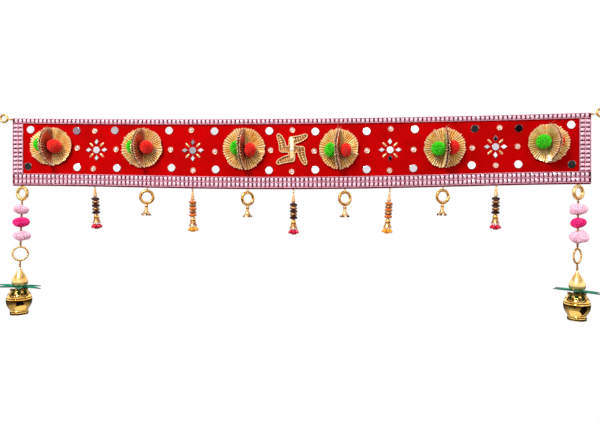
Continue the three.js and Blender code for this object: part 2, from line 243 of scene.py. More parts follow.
uneven_surface = bpy.data.node_groups.new("uneven_surface", "ShaderNodeTree")
for way, words in (("INPUT", ("Scale", "Fineness")), ("OUTPUT", ("Tone", "Relief"))):
    for word in words:
        uneven_surface.interface.new_socket(word, in_out=way, socket_type="NodeSocketFloat")
uneven_in = uneven_surface.nodes.new("NodeGroupInput").outputs
uneven_out = uneven_surface.nodes.new("NodeGroupOutput").inputs
uneven_place = add(uneven_surface, "ShaderNodeTexCoord").outputs["Object"]
uneven_broad = add(uneven_surface, "ShaderNodeTexNoise", {
    "Vector": uneven_place, "Scale": uneven_in["Scale"], "Detail": 3,
})
uneven_spread = add(uneven_surface, "ShaderNodeMapRange", {
    "Value": uneven_broad, "From Min": 0.32, "From Max": 0.68,
})
uneven_fine = add(uneven_surface, "ShaderNodeTexNoise", {
    "Vector": uneven_place, "Scale": uneven_in["Fineness"], "Detail": 2,
})
feed(uneven_out["Tone"], uneven_spread)
feed(uneven_out["Relief"], uneven_fine)


def finish(name, dark, light, patch, grain, gloss, relief, **fixed):
    """A material between two colours and two roughnesses; patch, grain and relief are millimetres."""
    material = bpy.data.materials.new(name)
    material.use_nodes = True
    tree = material.node_tree
    shader = tree.nodes["Principled BSDF"].inputs
    for socket, value in fixed.items():
        shader[socket.replace("_", " ")].default_value = value
    surface = add(tree, "ShaderNodeGroup", node_tree=uneven_surface)
    feed(surface.inputs["Scale"], 1 / (patch * mm))
    feed(surface.inputs["Fineness"], 1 / (grain * mm))
    tones = surface.outputs["Tone"]
    blend = add(tree, "ShaderNodeMix", {"Factor": tones, 6: tone(*dark), 7: tone(*light)}, data_type="RGBA")
    rough = add(tree, "ShaderNodeMapRange", {"Value": tones, "To Min": gloss[0], "To Max": gloss[1]})
    bump = add(tree, "ShaderNodeBump", {"Distance": relief * mm, "Height": surface.outputs["Relief"]})
    feed(shader["Base Color"], blend.outputs[2])
    feed(shader["Roughness"], rough)
    feed(shader["Normal"], bump)
    return material


def tint_by(material, attribute, colour, amount=1.0):
    """Turns the material towards a colour where the piece's own attribute nears 1."""
    tree = material.node_tree
    target = tree.nodes["Principled BSDF"].inputs["Base Color"]
    before = target.links[0].from_socket
    value = add(tree, "ShaderNodeAttribute", attribute_name=attribute)
    share = add(tree, "ShaderNodeMath", {
        0: value.outputs["Fac"], 1: amount,
    }, operation="MULTIPLY", use_clamp=True)
    blend = add(tree, "ShaderNodeMix", {"Factor": share, 6: before, 7: tone(*colour)}, data_type="RGBA")
    feed(target, blend.outputs[2])


red_velvet = finish(
    "red_velvet", (158, 0, 4), (180, 0, 8), 40, 0.7, (0.85, 0.98), 0.25,
    Specular_IOR_Level=0.03, Sheen_Weight=0.08, Sheen_Roughness=0.4, Sheen_Tint=tone(255, 40, 40),
)
# Painted shade: the hem's lower edge, under the bottom trim, is painted a darker maroon
tint_by(red_velvet, "hem", (132, 30, 52))
tint_by(red_velvet, "reverse", (150, 22, 28))

band_columns = 212
front_rows = 34
back_rows = 8
edge_round = 1.4
swell_deep = 0.26
swell_long = 62
swell_tall = 38
seam_reach = 5
hem_shade_blend = 0.8


def velvet_ring(x):
    """The band's upright section at one place along it: front, hem fold, back and top edge."""
    ring = []
    for k in range(front_rows + 1):
        below = edge_round + (band_tall - 2 * edge_round) * k / front_rows
        swell = swell_deep * noise.noise(Vector((x / swell_long, below / swell_tall, 3)))
        past_seam = min(abs(below - top_trim_tall), abs(below - top_trim_tall - field_tall))
        ring.append((x, band_front - swell * min(1, past_seam / seam_reach), on_band(x, below)))
    for turn in (30, 60, 90, 120, 150):
        out = -math.cos(turn * deg) * band_thick / 2
        ring.append((x, out, hem_at(x) + edge_round * (1 - math.sin(turn * deg))))
    for k in range(back_rows + 1):
        below = band_tall - edge_round - (band_tall - 2 * edge_round) * k / back_rows
        ring.append((x, -band_front, on_band(x, below)))
    for turn in (150, 120, 90, 60, 30):
        out = -math.cos(turn * deg) * band_thick / 2
        ring.append((x, out, rise(x) - edge_round * (1 - math.sin(turn * deg))))
    return ring


column_places = [band_long * (k / band_columns - 0.5) for k in range(band_columns + 1)]
velvet_band = make_piece("velvet_band", loft([velvet_ring(x) for x in column_places]), red_velvet)
# Where the hem's painted shade lies, fading in over a short blend
mark(velvet_band, "hem", lambda x, y, z: (
    min(1, max(0, (hem_at(x) + hem_tall + hem_shade_blend / 2 - z) / hem_shade_blend))
))
mark(velvet_band, "reverse", lambda x, y, z: 1.0 if y > 0.3 else 0.0)
fix(velvet_band, "velvet", "band")

# The stone trims are woven wine tape with rails of silvery plastic and one or two rows of pale cut
# stones, which run the whole length above and below and close the two ends. They are sewn along edges.
tape_thick = 0.9
rail_tall = 1.9
rail_half = 0.75
rail_bevel = 0.3
tape_edge = 0.05
row_wide = 7.2
side_trim_wide = 18.5
stone_pitch = 7.13
trim_steps = 106


def new_tree(name, sizes):
    """A tree with geometry in and out and one named input for each size, with its kind."""
    tree = bpy.data.node_groups.new(name, "GeometryNodeTree")
    tree.interface.new_socket("Geometry", in_out="INPUT", socket_type="NodeSocketGeometry")
    tree.interface.new_socket("Geometry", in_out="OUTPUT", socket_type="NodeSocketGeometry")
    for size, kind in sizes.items():
        tree.interface.new_socket(size, in_out="INPUT", socket_type="NodeSocket" + kind)
    return tree, tree.nodes.new("NodeGroupInput").outputs, tree.nodes.new("NodeGroupOutput").inputs


def place_parts(tree):
    """The x, y and z of each point."""
    return add(tree, "ShaderNodeSeparateXYZ", {0: add(tree, "GeometryNodeInputPosition")}).outputs


def stored(tree, geometry, name, value):
    """Stores a value on every point, under a name that a material reads."""
    return add(tree, "GeometryNodeStoreNamedAttribute", {
        "Geometry": geometry, "Name": name, "Value": value,
    }, data_type="FLOAT", domain="POINT")


def settled(tree, geometry, material):
    """Makes a tree's copies real and gives them their finish."""
    real = add(tree, "GeometryNodeRealizeInstances", {0: geometry})
    return add(tree, "GeometryNodeSetMaterial", {"Geometry": real, "Material": material})


def grow(piece, tree, sizes):
    """Runs a tree on a piece with named sizes and keeps the result as the piece's plain mesh."""
    modifier = piece.modifiers.new(tree.name, "NODES")
    modifier.node_group = tree
    for item in tree.interface.items_tree:
        if item.in_out == "INPUT" and item.name in sizes:
            modifier[item.identifier] = sizes[item.name]
    bpy.context.view_layer.update()
    depsgraph = bpy.context.evaluated_depsgraph_get()
    grown = bpy.data.meshes.new_from_object(
        piece.evaluated_get(depsgraph), preserve_all_data_layers=True, depsgraph=depsgraph
    )
    piece.modifiers.remove(modifier)
    piece.data = grown
    return piece


rows_tree, row_in, row_out = new_tree("rows_along_band", {
    "Pattern": "Object", "Count": "Int", "Rows": "Int", "Pitch": "Float", "Row Step": "Float",
    "Upright": "Float", "Place": "Vector", "Lift": "Float", "Droop": "Float", "Length": "Float",
    "Tilt": "Float", "Seed": "Int", "Finish": "Material",
})
row_points = add(rows_tree, "GeometryNodeMeshGrid", {
    "Size X": (Flow(row_in["Count"]) - 1) * row_in["Pitch"],
    "Size Y": (Flow(row_in["Rows"]) - 1) * row_in["Row Step"],
    "Vertices X": row_in["Count"], "Vertices Y": row_in["Rows"],
})
row_facing = add(rows_tree, "ShaderNodeCombineXYZ", {"X": 90 * deg, "Y": row_in["Upright"]})
row_stood = add(rows_tree, "GeometryNodeTransform", {
    "Geometry": row_points, "Translation": row_in["Place"], "Rotation": row_facing,
})
row_half = Flow(place_parts(rows_tree)["X"]) * 2 / row_in["Length"]
row_share = row_half * row_half
row_lift = row_share * row_in["Lift"] - row_share * row_share * row_in["Droop"]
row_rise = add(rows_tree, "ShaderNodeCombineXYZ", {"Z": row_lift})
row_bowed = add(rows_tree, "GeometryNodeSetPosition", {"Geometry": row_stood, "Offset": row_rise})
row_unlike = add(rows_tree, "FunctionNodeRandomValue", {
    0: (-1, -1, -1), 1: (1, 1, 1), "Seed": row_in["Seed"],
}, data_type="FLOAT_VECTOR")
row_sway = scaled(rows_tree, row_unlike, row_in["Tilt"])
row_turn = add(rows_tree, "ShaderNodeVectorMath", {0: row_facing, 1: row_sway}, operation="ADD")
row_pattern = add(rows_tree, "GeometryNodeObjectInfo", {"Object": row_in["Pattern"], "As Instance": True})
row_set = add(rows_tree, "GeometryNodeInstanceOnPoints", {
    "Points": row_bowed, "Instance": row_pattern.outputs["Geometry"], "Rotation": row_turn,
})
row_join = add(rows_tree, "GeometryNodeJoinGeometry", {0: row_in["Geometry"]})
feed(row_join.inputs[0], settled(rows_tree, row_set, row_in["Finish"]))
feed(row_out[0], row_join)

wine_tape = finish(
    "wine_tape", (60, 0, 20), (116, 4, 42), 14, 0.5, (0.5, 0.75), 0.15, Specular_IOR_Level=0.15
)
silver_rail = finish(
    "silver_rail", (196, 106, 132), (242, 180, 198), 4, 0.9, (0.2, 0.4), 0.1,
    Metallic=0.35, Coat_Weight=0.5,
)
cut_stone = finish(
    "cut_stone", (222, 170, 190), (247, 214, 226), 5, 1.2, (0.08, 0.2), 0.05,
    Metallic=0.3, Coat_Weight=0.6, Coat_Roughness=0.05,
)
wine_thread = finish("wine_thread", (120, 20, 40), (170, 50, 70), 2, 0.4, (0.6, 0.8), 0.1)


def turned(profile, sides, wave=None):
    """Points and faces of a (radius, height) profile, from the top down, turned about Z."""
    rings = []
    for radius, height in reversed(profile):
        ring = []
        for k in range(sides):
            angle = 2 * math.pi * k / sides
            out, up = wave(radius, height, angle) if wave else (radius, height)
            ring.append((out * math.cos(angle), out * math.sin(angle), up))
        rings.append(ring)
    return loft(rings)


def stretched(shape, x, y, z):
    points, faces = shape
    return [(point[0] * x, point[1] * y, point[2] * z) for point in points], faces


def take_away(*patterns):
    """Removes the pattern pieces once the rows that repeat them are made."""
    for pattern in patterns:
        bpy.data.objects.remove(pattern)


def waisted(radius, height, angle):
    """Draws a stone's two long sides in, so that a lens of tape shows between neighbours."""
    return radius * (0.74 + 0.3 * abs(math.sin(angle)) + 0.26 * abs(math.sin(2 * angle)) ** 2), height


stone_shape = turned([(0.3, 1.6), (0.62, 1.3), (0.95, 0.5), (1, 0), (0.95, -0.2)], 12, waisted)
knot_shape = turned([(0.35, 1.35), (0.95, 1.0), (1.25, 0.3), (1.2, -0.2)], 7)
stitch_shape = turned([(0.3, 0.34), (0.85, 0.2), (1, 0), (0.9, -0.2)], 6)
stone_pattern = make_piece("stone_pattern", stretched(stone_shape, 2.95, 3.2, 1.0), sharp=20)
knot_pattern = make_piece("knot_pattern", knot_shape, sharp=20)
stitch_pattern = make_piece("stitch_pattern", stretched(stitch_shape, 1.15, 0.3, 1.0), sharp=20)


def tape_strip(width, rows, start, end, place):
    """A tape with a rail beside each row; place turns (along, across, out) into a point."""
    margin = (width - rows * row_wide) / (rows + 1)
    section = [(0, 0)]
    rails = []
    for rail in range(rows + 1):
        middle = margin / 2 + rail * (row_wide + margin)
        low = max(tape_edge, middle - rail_half)
        high = min(width - tape_edge, middle + rail_half)
        rails.append(len(section) + 1)
        section += [(low, tape_thick), (low + rail_bevel, rail_tall)]
        section += [(high - rail_bevel, rail_tall), (high, tape_thick)]
    section.append((width, 0))
    rings = []
    for k in range(trim_steps + 1):
        along = start + (end - start) * k / trim_steps
        rings.append([place(along, across, out) for across, out in section])
    return loft(rings), len(section), rails


def stone_trim(name, width, rows, start, end, place, beads, stones):
    """One trim: its tape and rails, and the rows of stones and knots that its settings name."""
    shape, count, rails = tape_strip(width, rows, start, end, place)
    trim = make_piece(f"stone_{name}", shape, wine_tape, silver_rail)
    for number, polygon in enumerate(trim.data.polygons):
        strip = (number - 1) % count
        polygon.material_index = 1 if any(rail - 1 <= strip <= rail + 1 for rail in rails) else 0
    grow(trim, rows_tree, {"Pattern": stone_pattern, "Finish": cut_stone, **stones})
    if beads:
        grow(trim, rows_tree, {"Pattern": knot_pattern, "Finish": silver_rail, **stones, **beads})
    return fix(trim, "stone_trim", name)


trim_back = band_front - gap
stones_in_length = 133
stones_in_side = 12
side_pitch = 7.0
top_bow = {"Lift": end_lift * mm, "Droop": 0.0, "Length": band_long * mm}
hem_bow = {"Lift": hem_lift * mm, "Droop": corner_droop * mm, "Length": band_long * mm}
row_step = row_wide + (bottom_trim_tall - 2 * row_wide) / 3


def along_band(below):
    """Places a tape's points by their distance along the band and above the tape's lower edge."""
    return lambda along, across, out: (along, trim_back - out, on_band(along, below - across))


def up_band(left):
    """The same for an upright tape, by distance below the top edge and across from the left."""
    return lambda along, across, out: (left + across, trim_back - out, on_band(left + across, along))


def row_sizes(count, rows, pitch, x, out, z, seed, bow, upright=0.0, tilt=0.09):
    """The named sizes of a line of even rows, with the place of its middle."""
    return {
        "Count": count, "Rows": rows, "Pitch": pitch * mm, "Row Step": row_step * mm, "Upright": upright,
        "Place": (x * mm, out * mm, z * mm), "Tilt": tilt, "Seed": seed, **bow,
    }


stone_front = trim_back - tape_thick
field_low = top_trim_tall + field_tall
trim_low = field_low + bottom_trim_tall
trim_middle = bottom_trim_tall / 2 - trim_low
half_long = band_long / 2
stone_trim(
    "trim_top", top_trim_tall, 1, -half_long, half_long, along_band(top_trim_tall), None,
    row_sizes(stones_in_length, 1, stone_pitch, 0, stone_front, -top_trim_tall / 2, 3, top_bow),
)
stone_trim(
    "trim_bottom", bottom_trim_tall, 2, -half_long, half_long, along_band(trim_low),
    {"Rows": 1, "Seed": 9},
    row_sizes(stones_in_length, 2, stone_pitch, 0, stone_front, trim_middle, 5, hem_bow),
)
straight = {"Lift": 0.0, "Droop": 0.0, "Length": band_long * mm}
for side_word, left in (("left", -half_long), ("right", half_long - side_trim_wide)):
    centre = left + side_trim_wide / 2
    middle = (on_band(centre, top_trim_tall) + on_band(centre, field_low)) / 2
    stone_trim(
        f"trim_{side_word}", side_trim_wide, 2, field_low - gap, top_trim_tall + gap, up_band(left),
        {"Rows": 1, "Seed": 11},
        row_sizes(stones_in_side, 2, side_pitch, centre, stone_front, middle, 7, straight, 90 * deg),
    )

stitches = make_piece("edge_stitches", ([], []))
stitch_count = 226
stitch_pitch = 4.2
seam_inset = 1.7
seam_front = stone_front + 0.1
stitch_lines = [
    (seam_front, top_trim_tall - seam_inset, top_bow), (seam_front, field_low + seam_inset, hem_bow),
    (seam_front, trim_low - seam_inset, hem_bow), (band_front, trim_low + hem_tall / 2, hem_bow),
]
for depth, below, line_bow in stitch_lines:
    line = row_sizes(stitch_count, 1, stitch_pitch, 0, depth, -below, 21, line_bow, tilt=0.06)
    grow(stitches, rows_tree, {"Pattern": stitch_pattern, "Finish": wine_thread, **line})
fix(stitches, "stone_trim")
take_away(stone_pattern, knot_pattern, stitch_pattern)

# Round mirrors, cut stones and flowers of diamond mirrors and gilt leaves are glued on the velvet.
# Each mirror is a thin silvered disc with a ground edge, and no two lie quite level.
set_tree, set_in, set_end = new_tree("set_out_pieces", {"Pattern": "Object", "Finish": "Material"})
set_turn = add(set_tree, "GeometryNodeInputNamedAttribute", {"Name": "turn"}, data_type="FLOAT_VECTOR")
set_size = add(set_tree, "GeometryNodeInputNamedAttribute", {"Name": "size"}, data_type="FLOAT_VECTOR")
set_pattern = add(set_tree, "GeometryNodeObjectInfo", {"Object": set_in["Pattern"], "As Instance": True})
set_instances = add(set_tree, "GeometryNodeInstanceOnPoints", {
    "Points": set_in["Geometry"], "Instance": set_pattern.outputs["Geometry"],
    "Rotation": set_turn.outputs["Attribute"], "Scale": set_size.outputs["Attribute"],
})
feed(set_end[0], settled(set_tree, set_instances, set_in["Finish"]))


def set_out(name, shape, places, material, sharp=20, **values):
    """One piece that repeats a shape at each place: a point, a turn in degrees and a size."""
    pattern = make_piece(name + "_pattern", shape, sharp=sharp)
    piece = make_piece(name, ([place[0] for place in places], []))
    for word, numbers in values.items():
        layer = piece.data.attributes.new(word, "FLOAT", "POINT")
        layer.data.foreach_set("value", numbers)
    turns = piece.data.attributes.new("turn", "FLOAT_VECTOR", "POINT")
    sizes = piece.data.attributes.new("size", "FLOAT_VECTOR", "POINT")
    for number, (point, turn, size) in enumerate(places):
        turns.data[number].vector = [angle * deg for angle in turn]
        sizes.data[number].vector = (size, size, size)
    grow(piece, set_tree, {"Pattern": pattern, "Finish": material})
    take_away(pattern)
    return piece


mirror_glass = finish(
    "mirror_glass", (222, 221, 222), (240, 238, 239), 6, 3, (0.02, 0.06), 0.01, Metallic=1.0
)
# Painted reflection: each mirror's silver turns purplish grey by its share, standing in for darker parts of
# the room
tint_by(mirror_glass, "clouded", (104, 82, 104))
pearl_disc = finish(
    "pearl_disc", (240, 176, 172), (255, 226, 216), 3, 0.8, (0.2, 0.4), 0.08,
    Metallic=0.3, Coat_Weight=0.4,
)
clear_stone = finish(
    "clear_stone", (250, 226, 214), (255, 250, 246), 2, 0.7, (0.05, 0.12), 0.03,
    Metallic=0.4, Coat_Weight=1.0, Coat_Roughness=0.04,
)
peach_gold = finish(
    "peach_gold", (232, 140, 96), (255, 216, 168), 4, 1.0, (0.22, 0.36), 0.06, Metallic=0.6
)
rose_gilt = finish("rose_gilt", (186, 104, 78), (236, 170, 132), 3, 1.0, (0.25, 0.4), 0.06, Metallic=0.7)

mirror_radius = 6.4
stone_radius = 4.7
ornament_tall = 1.1
ornament_root = 0.4
# x and distance below the band's top edge of each upper and lower mirror, how many degrees it leans
# forward at its top, so that it shows the low shade of the room, and how far its silver is painted
# dark, a painted reflection of darker parts of the room
mirrors = [
    (-446, 19, 0, 0.1), (-450.5, 81, 6, 0.3), (-366, 20, 0, 0.85), (-365.5, 81.5, 0, 0),
    (-300.5, 19, 0, 0.55), (-297, 82, 0, 0), (-208, 19, 0, 0), (-204, 81, 0, 0),
    (-131.5, 20, 0, 0.15), (-129.5, 83.5, 0, 0), (-40, 20, 0, 0), (-40.5, 85, 0, 0.1),
    (36, 21.5, 0, 0), (36, 84.5, 0, 0), (120, 22, 0, 0), (120, 84.5, 0, 0.3),
    (198, 20, 0, 0), (195.5, 83.5, 0, 0.5), (294, 21, 9, 0.2), (289, 80, 0, 0.1),
    (364, 22, 9.5, 0.7), (363, 80, 0, 0.05), (446, 18.5, 0, 0.05), (447, 82, 6, 0.2),
]
stones = [
    (-335, 20), (-337.5, 83.5), (-365, 49), (-298.5, 50.5), (-205.5, 50.5), (-170.5, 18),
    (-167.5, 85), (-131, 53.5), (-38, 51.5), (-2, 18.5), (-3, 87), (34, 53.5), (120.5, 53.5),
    (159, 18.5), (157, 86.5), (196, 53), (290, 52), (333.5, 20), (327.5, 81), (362, 51),
]
flowers = [(-332, 52), (-168, 52), (158, 53), (327, 51)]
hand = random.Random(14)


def on_velvet(x, below, out=0.0):
    return (x, band_front - out, rise(x) - below)


def facing(lean=0.0, spin=0.0, sway=0.0):
    """The turn of a piece made lying on its back, stood up on the band and spun on its face."""
    turn = Euler((90 * deg, 0, 0)).to_matrix()
    tilt = Euler(((lean + sway * hand.uniform(-1, 1)) * deg, 0, sway * hand.uniform(-1, 1) * deg))
    flat_spin = Matrix.Rotation(spin * deg, 3, "Z")
    return [angle / deg for angle in (tilt.to_matrix() @ turn @ flat_spin).to_euler()]


disc_shape = turned(
    [(mirror_radius - 0.4, ornament_tall), (mirror_radius - 0.12, ornament_tall - 0.12),
     (mirror_radius, ornament_tall - 0.4), (mirror_radius - 0.05, -ornament_root)], 48
)
fix(set_out(
    "round_mirrors", disc_shape,
    [(on_velvet(x, below), facing(lean, 0, 0.5), 1) for x, below, lean, cloud in mirrors], mirror_glass,
    sharp=12, clouded=[cloud for x, below, lean, cloud in mirrors],
), "mirror_glass")

stone_turns = [facing(0, hand.uniform(0, 45), 4) for _ in stones]
disc_places = [(on_velvet(x, below), turn, 1) for (x, below), turn in zip(stones, stone_turns)]
setting_shape = turned([(2.6, 0.5), (3.2, 0.8), (3.9, 0.75), (4.1, 0.5)], 28)
fix(set_out("stone_settings", setting_shape, disc_places, pearl_disc), "clear_stone")
collar_shape = turned(
    [(3.7, 0.3), (3.85, 1.0), (4.3, 1.15), (stone_radius, 0.7), (stone_radius, -ornament_root)], 28
)
fix(set_out("stone_collars", collar_shape, disc_places, rose_gilt, sharp=40), "gold_metal")
fix(set_out(
    "small_stones", turned([(0.6, 1.9), (1.3, 1.6), (1.75, 1.0), (1.8, 0.4)], 8), disc_places, clear_stone
), "clear_stone")
fix(set_out(
    "stone_beads", turned([(0.15, 0.5), (0.4, 0.35), (0.5, 0), (0.4, -0.35)], 6),
    [
        (Vector(on_velvet(x, below, 0.8)) + 2.75 * Vector((math.cos(a), 0, math.sin(a))), facing(), 1)
        for x, below in stones for a in (k * math.pi / 4 for k in range(8))
    ], rose_gilt,
), "gold_metal")

flower_turns = [90 * k for k in range(4)]
fix(set_out(
    "flower_centres", stretched(disc_shape, 5.8 / mirror_radius, 5.8 / mirror_radius, 1.15),
    [(on_velvet(x, below), facing(0, 0, 0.5), 1) for x, below in flowers], mirror_glass, sharp=12,
    # The flower centres' painted reflection of darker parts of the room
    clouded=[0.25, 0.6, 0.3, 0.6],
), "mirror_glass")


def petal_places(reach, offset, leans):
    """Four places round each flower, with the turn that points a petal away from its middle."""
    places = []
    for number, (x, below) in enumerate(flowers):
        for quarter, angle in enumerate(flower_turns):
            away = (angle + offset) * deg
            middle = Vector(on_velvet(x, below)) + reach * Vector((math.cos(away), 0, math.sin(away)))
            places.append((middle, facing(leans.get((number, quarter), 0), angle + offset, 1.2), 1))
    return places


diamond_shape = stretched(
    turned([(0.72, ornament_tall), (0.97, ornament_tall - 0.5), (1, -ornament_root)], 4), 5.6, 3.9, 1
)
# How far each flower's east, north, west and south petal is painted dark, a painted reflection of darker
# parts of the room
petal_dark_reflections = [0.12, 0.2, 0.12, 0.12, 0.05, 0.75, 0.55, 0, 0.3, 0, 0.5, 0.9, 0, 0.8, 0.6, 0]
fix(set_out(
    "diamond_mirrors", diamond_shape, petal_places(13.4, 0, {(2, 3): 8, (3, 1): 9}), mirror_glass,
    sharp=12, clouded=petal_dark_reflections,
), "mirror_glass")
gilt_leaf_shape = stretched(
    turned([(0.1, 1.0), (0.75, 0.66), (1, 0.1), (1, -ornament_root)], 12), 4.9, 2.0, 1.15
)
fix(set_out("gilt_leaves", gilt_leaf_shape, petal_places(12.6, 45, {}), peach_gold, sharp=60), "gold_metal")

# The middle carries a swastik, the sign of good luck, cast in gilt plastic and glued on.
# Its arms end in leaves with raised rims and rows of pierced dots, and a stone sits at the hub.
gold_metal = finish(
    "gold_metal", (202, 142, 62), (240, 192, 112), 9, 2.5, (0.14, 0.28), 0.05, Metallic=0.9
)
string_gilt = finish(
    "string_gilt", (186, 132, 78), (236, 190, 140), 5, 1.2, (0.18, 0.32), 0.05, Metallic=0.85
)
old_gilt = finish("old_gilt", (138, 88, 50), (196, 142, 96), 4, 1.2, (0.2, 0.34), 0.05, Metallic=0.8)
pale_gilt = finish(
    "pale_gilt", (238, 196, 132), (255, 238, 198), 6, 1.2, (0.2, 0.34), 0.05, Metallic=0.75
)
tint_by(pale_gilt, "recess", (160, 94, 34), 0.9)
dark_hollow = finish("dark_hollow", (50, 22, 4), (92, 52, 16), 3, 0.6, (0.35, 0.5), 0.05, Metallic=0.5)

motif_x = -2.5
motif_below = 50.5
motif_thick = 2.4
motif_sunk = motif_thick - 0.85
motif_arm = [
    (-5.6, -5.4), (-20.9, -5.4), (-21.8, 7), (-24, 16.5), (-26, 22.2), (-23, 27),
    (-17, 24), (-12.5, 16.5), (-9.5, 8.5), (-8.9, 5.6),
]


def motif_point(x, z, quarter, out):
    """A point of one arm, swung round the hub by quarter turns and stood out from the velvet."""
    swung = Matrix.Rotation(quarter * 90 * deg, 2) @ Vector((x, z))
    middle = on_velvet(motif_x, motif_below, gap + out)
    return Vector((middle[0] + swung.x, middle[1], middle[2] + swung.y))


def rounded(outline, times):
    """Cuts the corners of a closed outline, which rounds it a little each time."""
    for _ in range(times):
        cut = []
        for here, after in zip(outline, outline[1:] + outline[:1]):
            cut.append(tuple(a * 0.8 + b * 0.2 for a, b in zip(here, after)))
            cut.append(tuple(a * 0.2 + b * 0.8 for a, b in zip(here, after)))
        outline = cut
    return outline


motif_outline = []
for quarter in range(4):
    motif_outline += [
        tuple(Matrix.Rotation(-quarter * 90 * deg, 2) @ Vector(point)) for point in motif_arm
    ]
motif_outline = rounded(motif_outline, 2)


def shrunk(outline, inset):
    """Moves a closed outline inwards by an even distance along its corners' bisectors."""
    moved = []
    count = len(outline)
    for number in range(count):
        before, here, after = (Vector(outline[(number + step) % count]) for step in (-1, 0, 1))
        first = (here - before).normalized()
        second = (after - here).normalized()
        inward = Vector((first.y + second.y, -first.x - second.x))
        moved.append(here + inward.normalized() * inset / max(0.6, inward.length / 2))
    return moved


def motif_ring(inset, out):
    middle = on_velvet(motif_x, motif_below, gap + out)
    return [(middle[0] + p.x, middle[1], middle[2] + p.y) for p in shrunk(motif_outline, inset)]


motif_levels = [
    (0.25, 0), (0, 0.3), (0, motif_thick - 0.5), (0.35, motif_thick), (1.1, motif_thick),
    (1.5, motif_thick - 0.8), (1.7, motif_sunk),
]
motif_plate = make_piece(
    "centre_motif_plate", loft([motif_ring(inset, out) for inset, out in motif_levels]), pale_gilt, sharp=50
)
motif_face = band_front - gap - motif_thick
mark(motif_plate, "recess", lambda x, y, z: 1.0 if motif_face + 0.6 < y < motif_face + 1.2 else 0.0)
fix(motif_plate, "gold_metal", "centre_motif")

# Two rows of dots follow each leaf, and bars cross its root
leaf_spine = [(-16.0, 2), (-16.3, 6.2), (-17.2, 10.3), (-18.5, 14.3), (-20.2, 18.2), (-22.2, 22)]
dot_places = []
bar_places = []
for quarter in range(4):
    for number, (x, z) in enumerate(leaf_spine):
        spread = 3.1 if number < 4 else 2.3 if number < 5 else 0.0
        for side in ((-1, 1) if spread else (0,)):
            place = motif_point(x + side * spread, z + side * 0.9, -quarter, motif_sunk)
            dot_places.append((place, facing(), 1))
    for x in (-10.2, -14.6):
        place = motif_point(x, -2.2, -quarter, motif_sunk)
        bar_places.append((place, facing(0, -quarter * 90 + 90), 1))
fix(set_out(
    "motif_dots", turned([(0.5, 0.24), (1.1, 0.14), (1.35, -0.1)], 10), dot_places, dark_hollow
), "gold_metal")
fix(set_out(
    "motif_bars", stretched(turned([(0.5, 0.5), (0.9, 0.3), (1, -0.1)], 10), 2.9, 0.62, 1.5),
    bar_places, pale_gilt,
), "gold_metal")
fix(set_out(
    "motif_ridges", stretched(turned([(0.3, 0.6), (0.8, 0.4), (1, 0)], 8), 0.8, 2.2, 1.5),
    [
        (motif_point((x + next_x) / 2, (z + next_z) / 2, -quarter, motif_sunk),
         facing(0, -quarter * 90 + 90 + math.atan2(next_z - z, next_x - x) / deg - 90), 1)
        for quarter in range(4) for (x, z), (next_x, next_z) in zip(leaf_spine, leaf_spine[1:])
    ], pale_gilt, sharp=50,
), "gold_metal")
hub_place = Vector(on_velvet(motif_x, motif_below, gap + motif_thick - 0.9))


def squared(radius, height, angle):
    """Turns a round outline into a bar's, with rounded corners."""
    return radius / max(abs(math.cos(angle)), abs(math.sin(angle)), 0.78), height


fix(set_out(
    "motif_upright",
    stretched(turned([(0.7, 1.5), (0.93, 1.15), (1, 0.6), (1, -0.2)], 32, squared), 3.3, 19.6, 1.2),
    [(hub_place, facing(), 1)], pale_gilt, sharp=50,
), "gold_metal")
fix(set_out(
    "motif_hub", turned([(2.9, 1.6), (3.4, 2.2), (3.9, 1.9), (4.2, 0.1)], 32), [(hub_place, facing(), 1)],
    pale_gilt, sharp=50,
), "gold_metal")
fix(set_out(
    "motif_stone", stretched(turned([(0.25, 2.9), (0.62, 2.6), (0.9, 2.0), (1, 1.2)], 16), 2.9, 4.0, 1),
    [(hub_place, facing(), 1)], clear_stone, sharp=30,
), "clear_stone")

# Each rosette is two discs of pleated gilt ribbon. Each disc is folded in half: one half lies on the
# velvet, the other stands straight out, back to back with its twin, as a fin between the two pompoms.
rosettes = [(-408.5, 47), (-252.5, 48), (-81.5, 49.5), (74.5, 50.5), (245, 51), (409, 47)]
# How far each rosette reaches to the side, its height's share of that, and its fin's lean to the right
disc_forms = [
    (36.4, 0.90, -2), (34.5, 0.98, -6), (34.9, 1.02, -5), (32, 1.07, -6.5), (33.5, 1.0, -1.5),
    (32.8, 0.97, 7.5),
]
pleats_round = 46
rings_out = 11
pleat_tall = 2.5
rim_lift = 4
ribbon_thick = 0.7

fan_tree, fan_in, fan_out = new_tree("pleated_disc", {
    "Pleats": "Int", "Rings": "Int", "Reach": "Float", "Pleat Tall": "Float", "Rim Lift": "Float",
    "Ribbon": "Float", "Fold": "Float", "Front": "Float", "Lean": "Float", "Seed": "Float",
    "Finish": "Material",
})
pleats = Flow(fan_in["Pleats"])
fan_grid = add(fan_tree, "GeometryNodeMeshGrid", {
    "Size X": 1.0, "Size Y": 1.0, "Vertices X": pleats * 4 + 1, "Vertices Y": fan_in["Rings"],
})
fan_place = place_parts(fan_tree)
even_share = Flow(fan_place["X"]) + 0.5
uneven_share = (even_share * 43.7 + fan_in["Seed"]).do("SINE") * (even_share * math.pi * 2).do("SINE")
round_share = even_share + uneven_share * (even_share * -1 + 1) * even_share * 0.012
out_share = Flow(fan_place["Y"]) + 0.5
pleat_number = (even_share * pleats - 0.001).do("FLOOR")
pleat_noise = add(fan_tree, "ShaderNodeTexWhiteNoise", {
    "W": pleat_number + fan_in["Seed"],
}, noise_dimensions="1D")
unlike = Flow(pleat_noise)
crest = ((even_share * pleats).do("FRACT") * 2 - 1).do("ABSOLUTE") * -1 + 1
angle = round_share * (2 * math.pi)
sine = angle.do("SINE")
reach = (out_share * 0.96 + 0.04) * fan_in["Reach"] * (unlike * 0.06 + crest * 0.025 + 0.915)
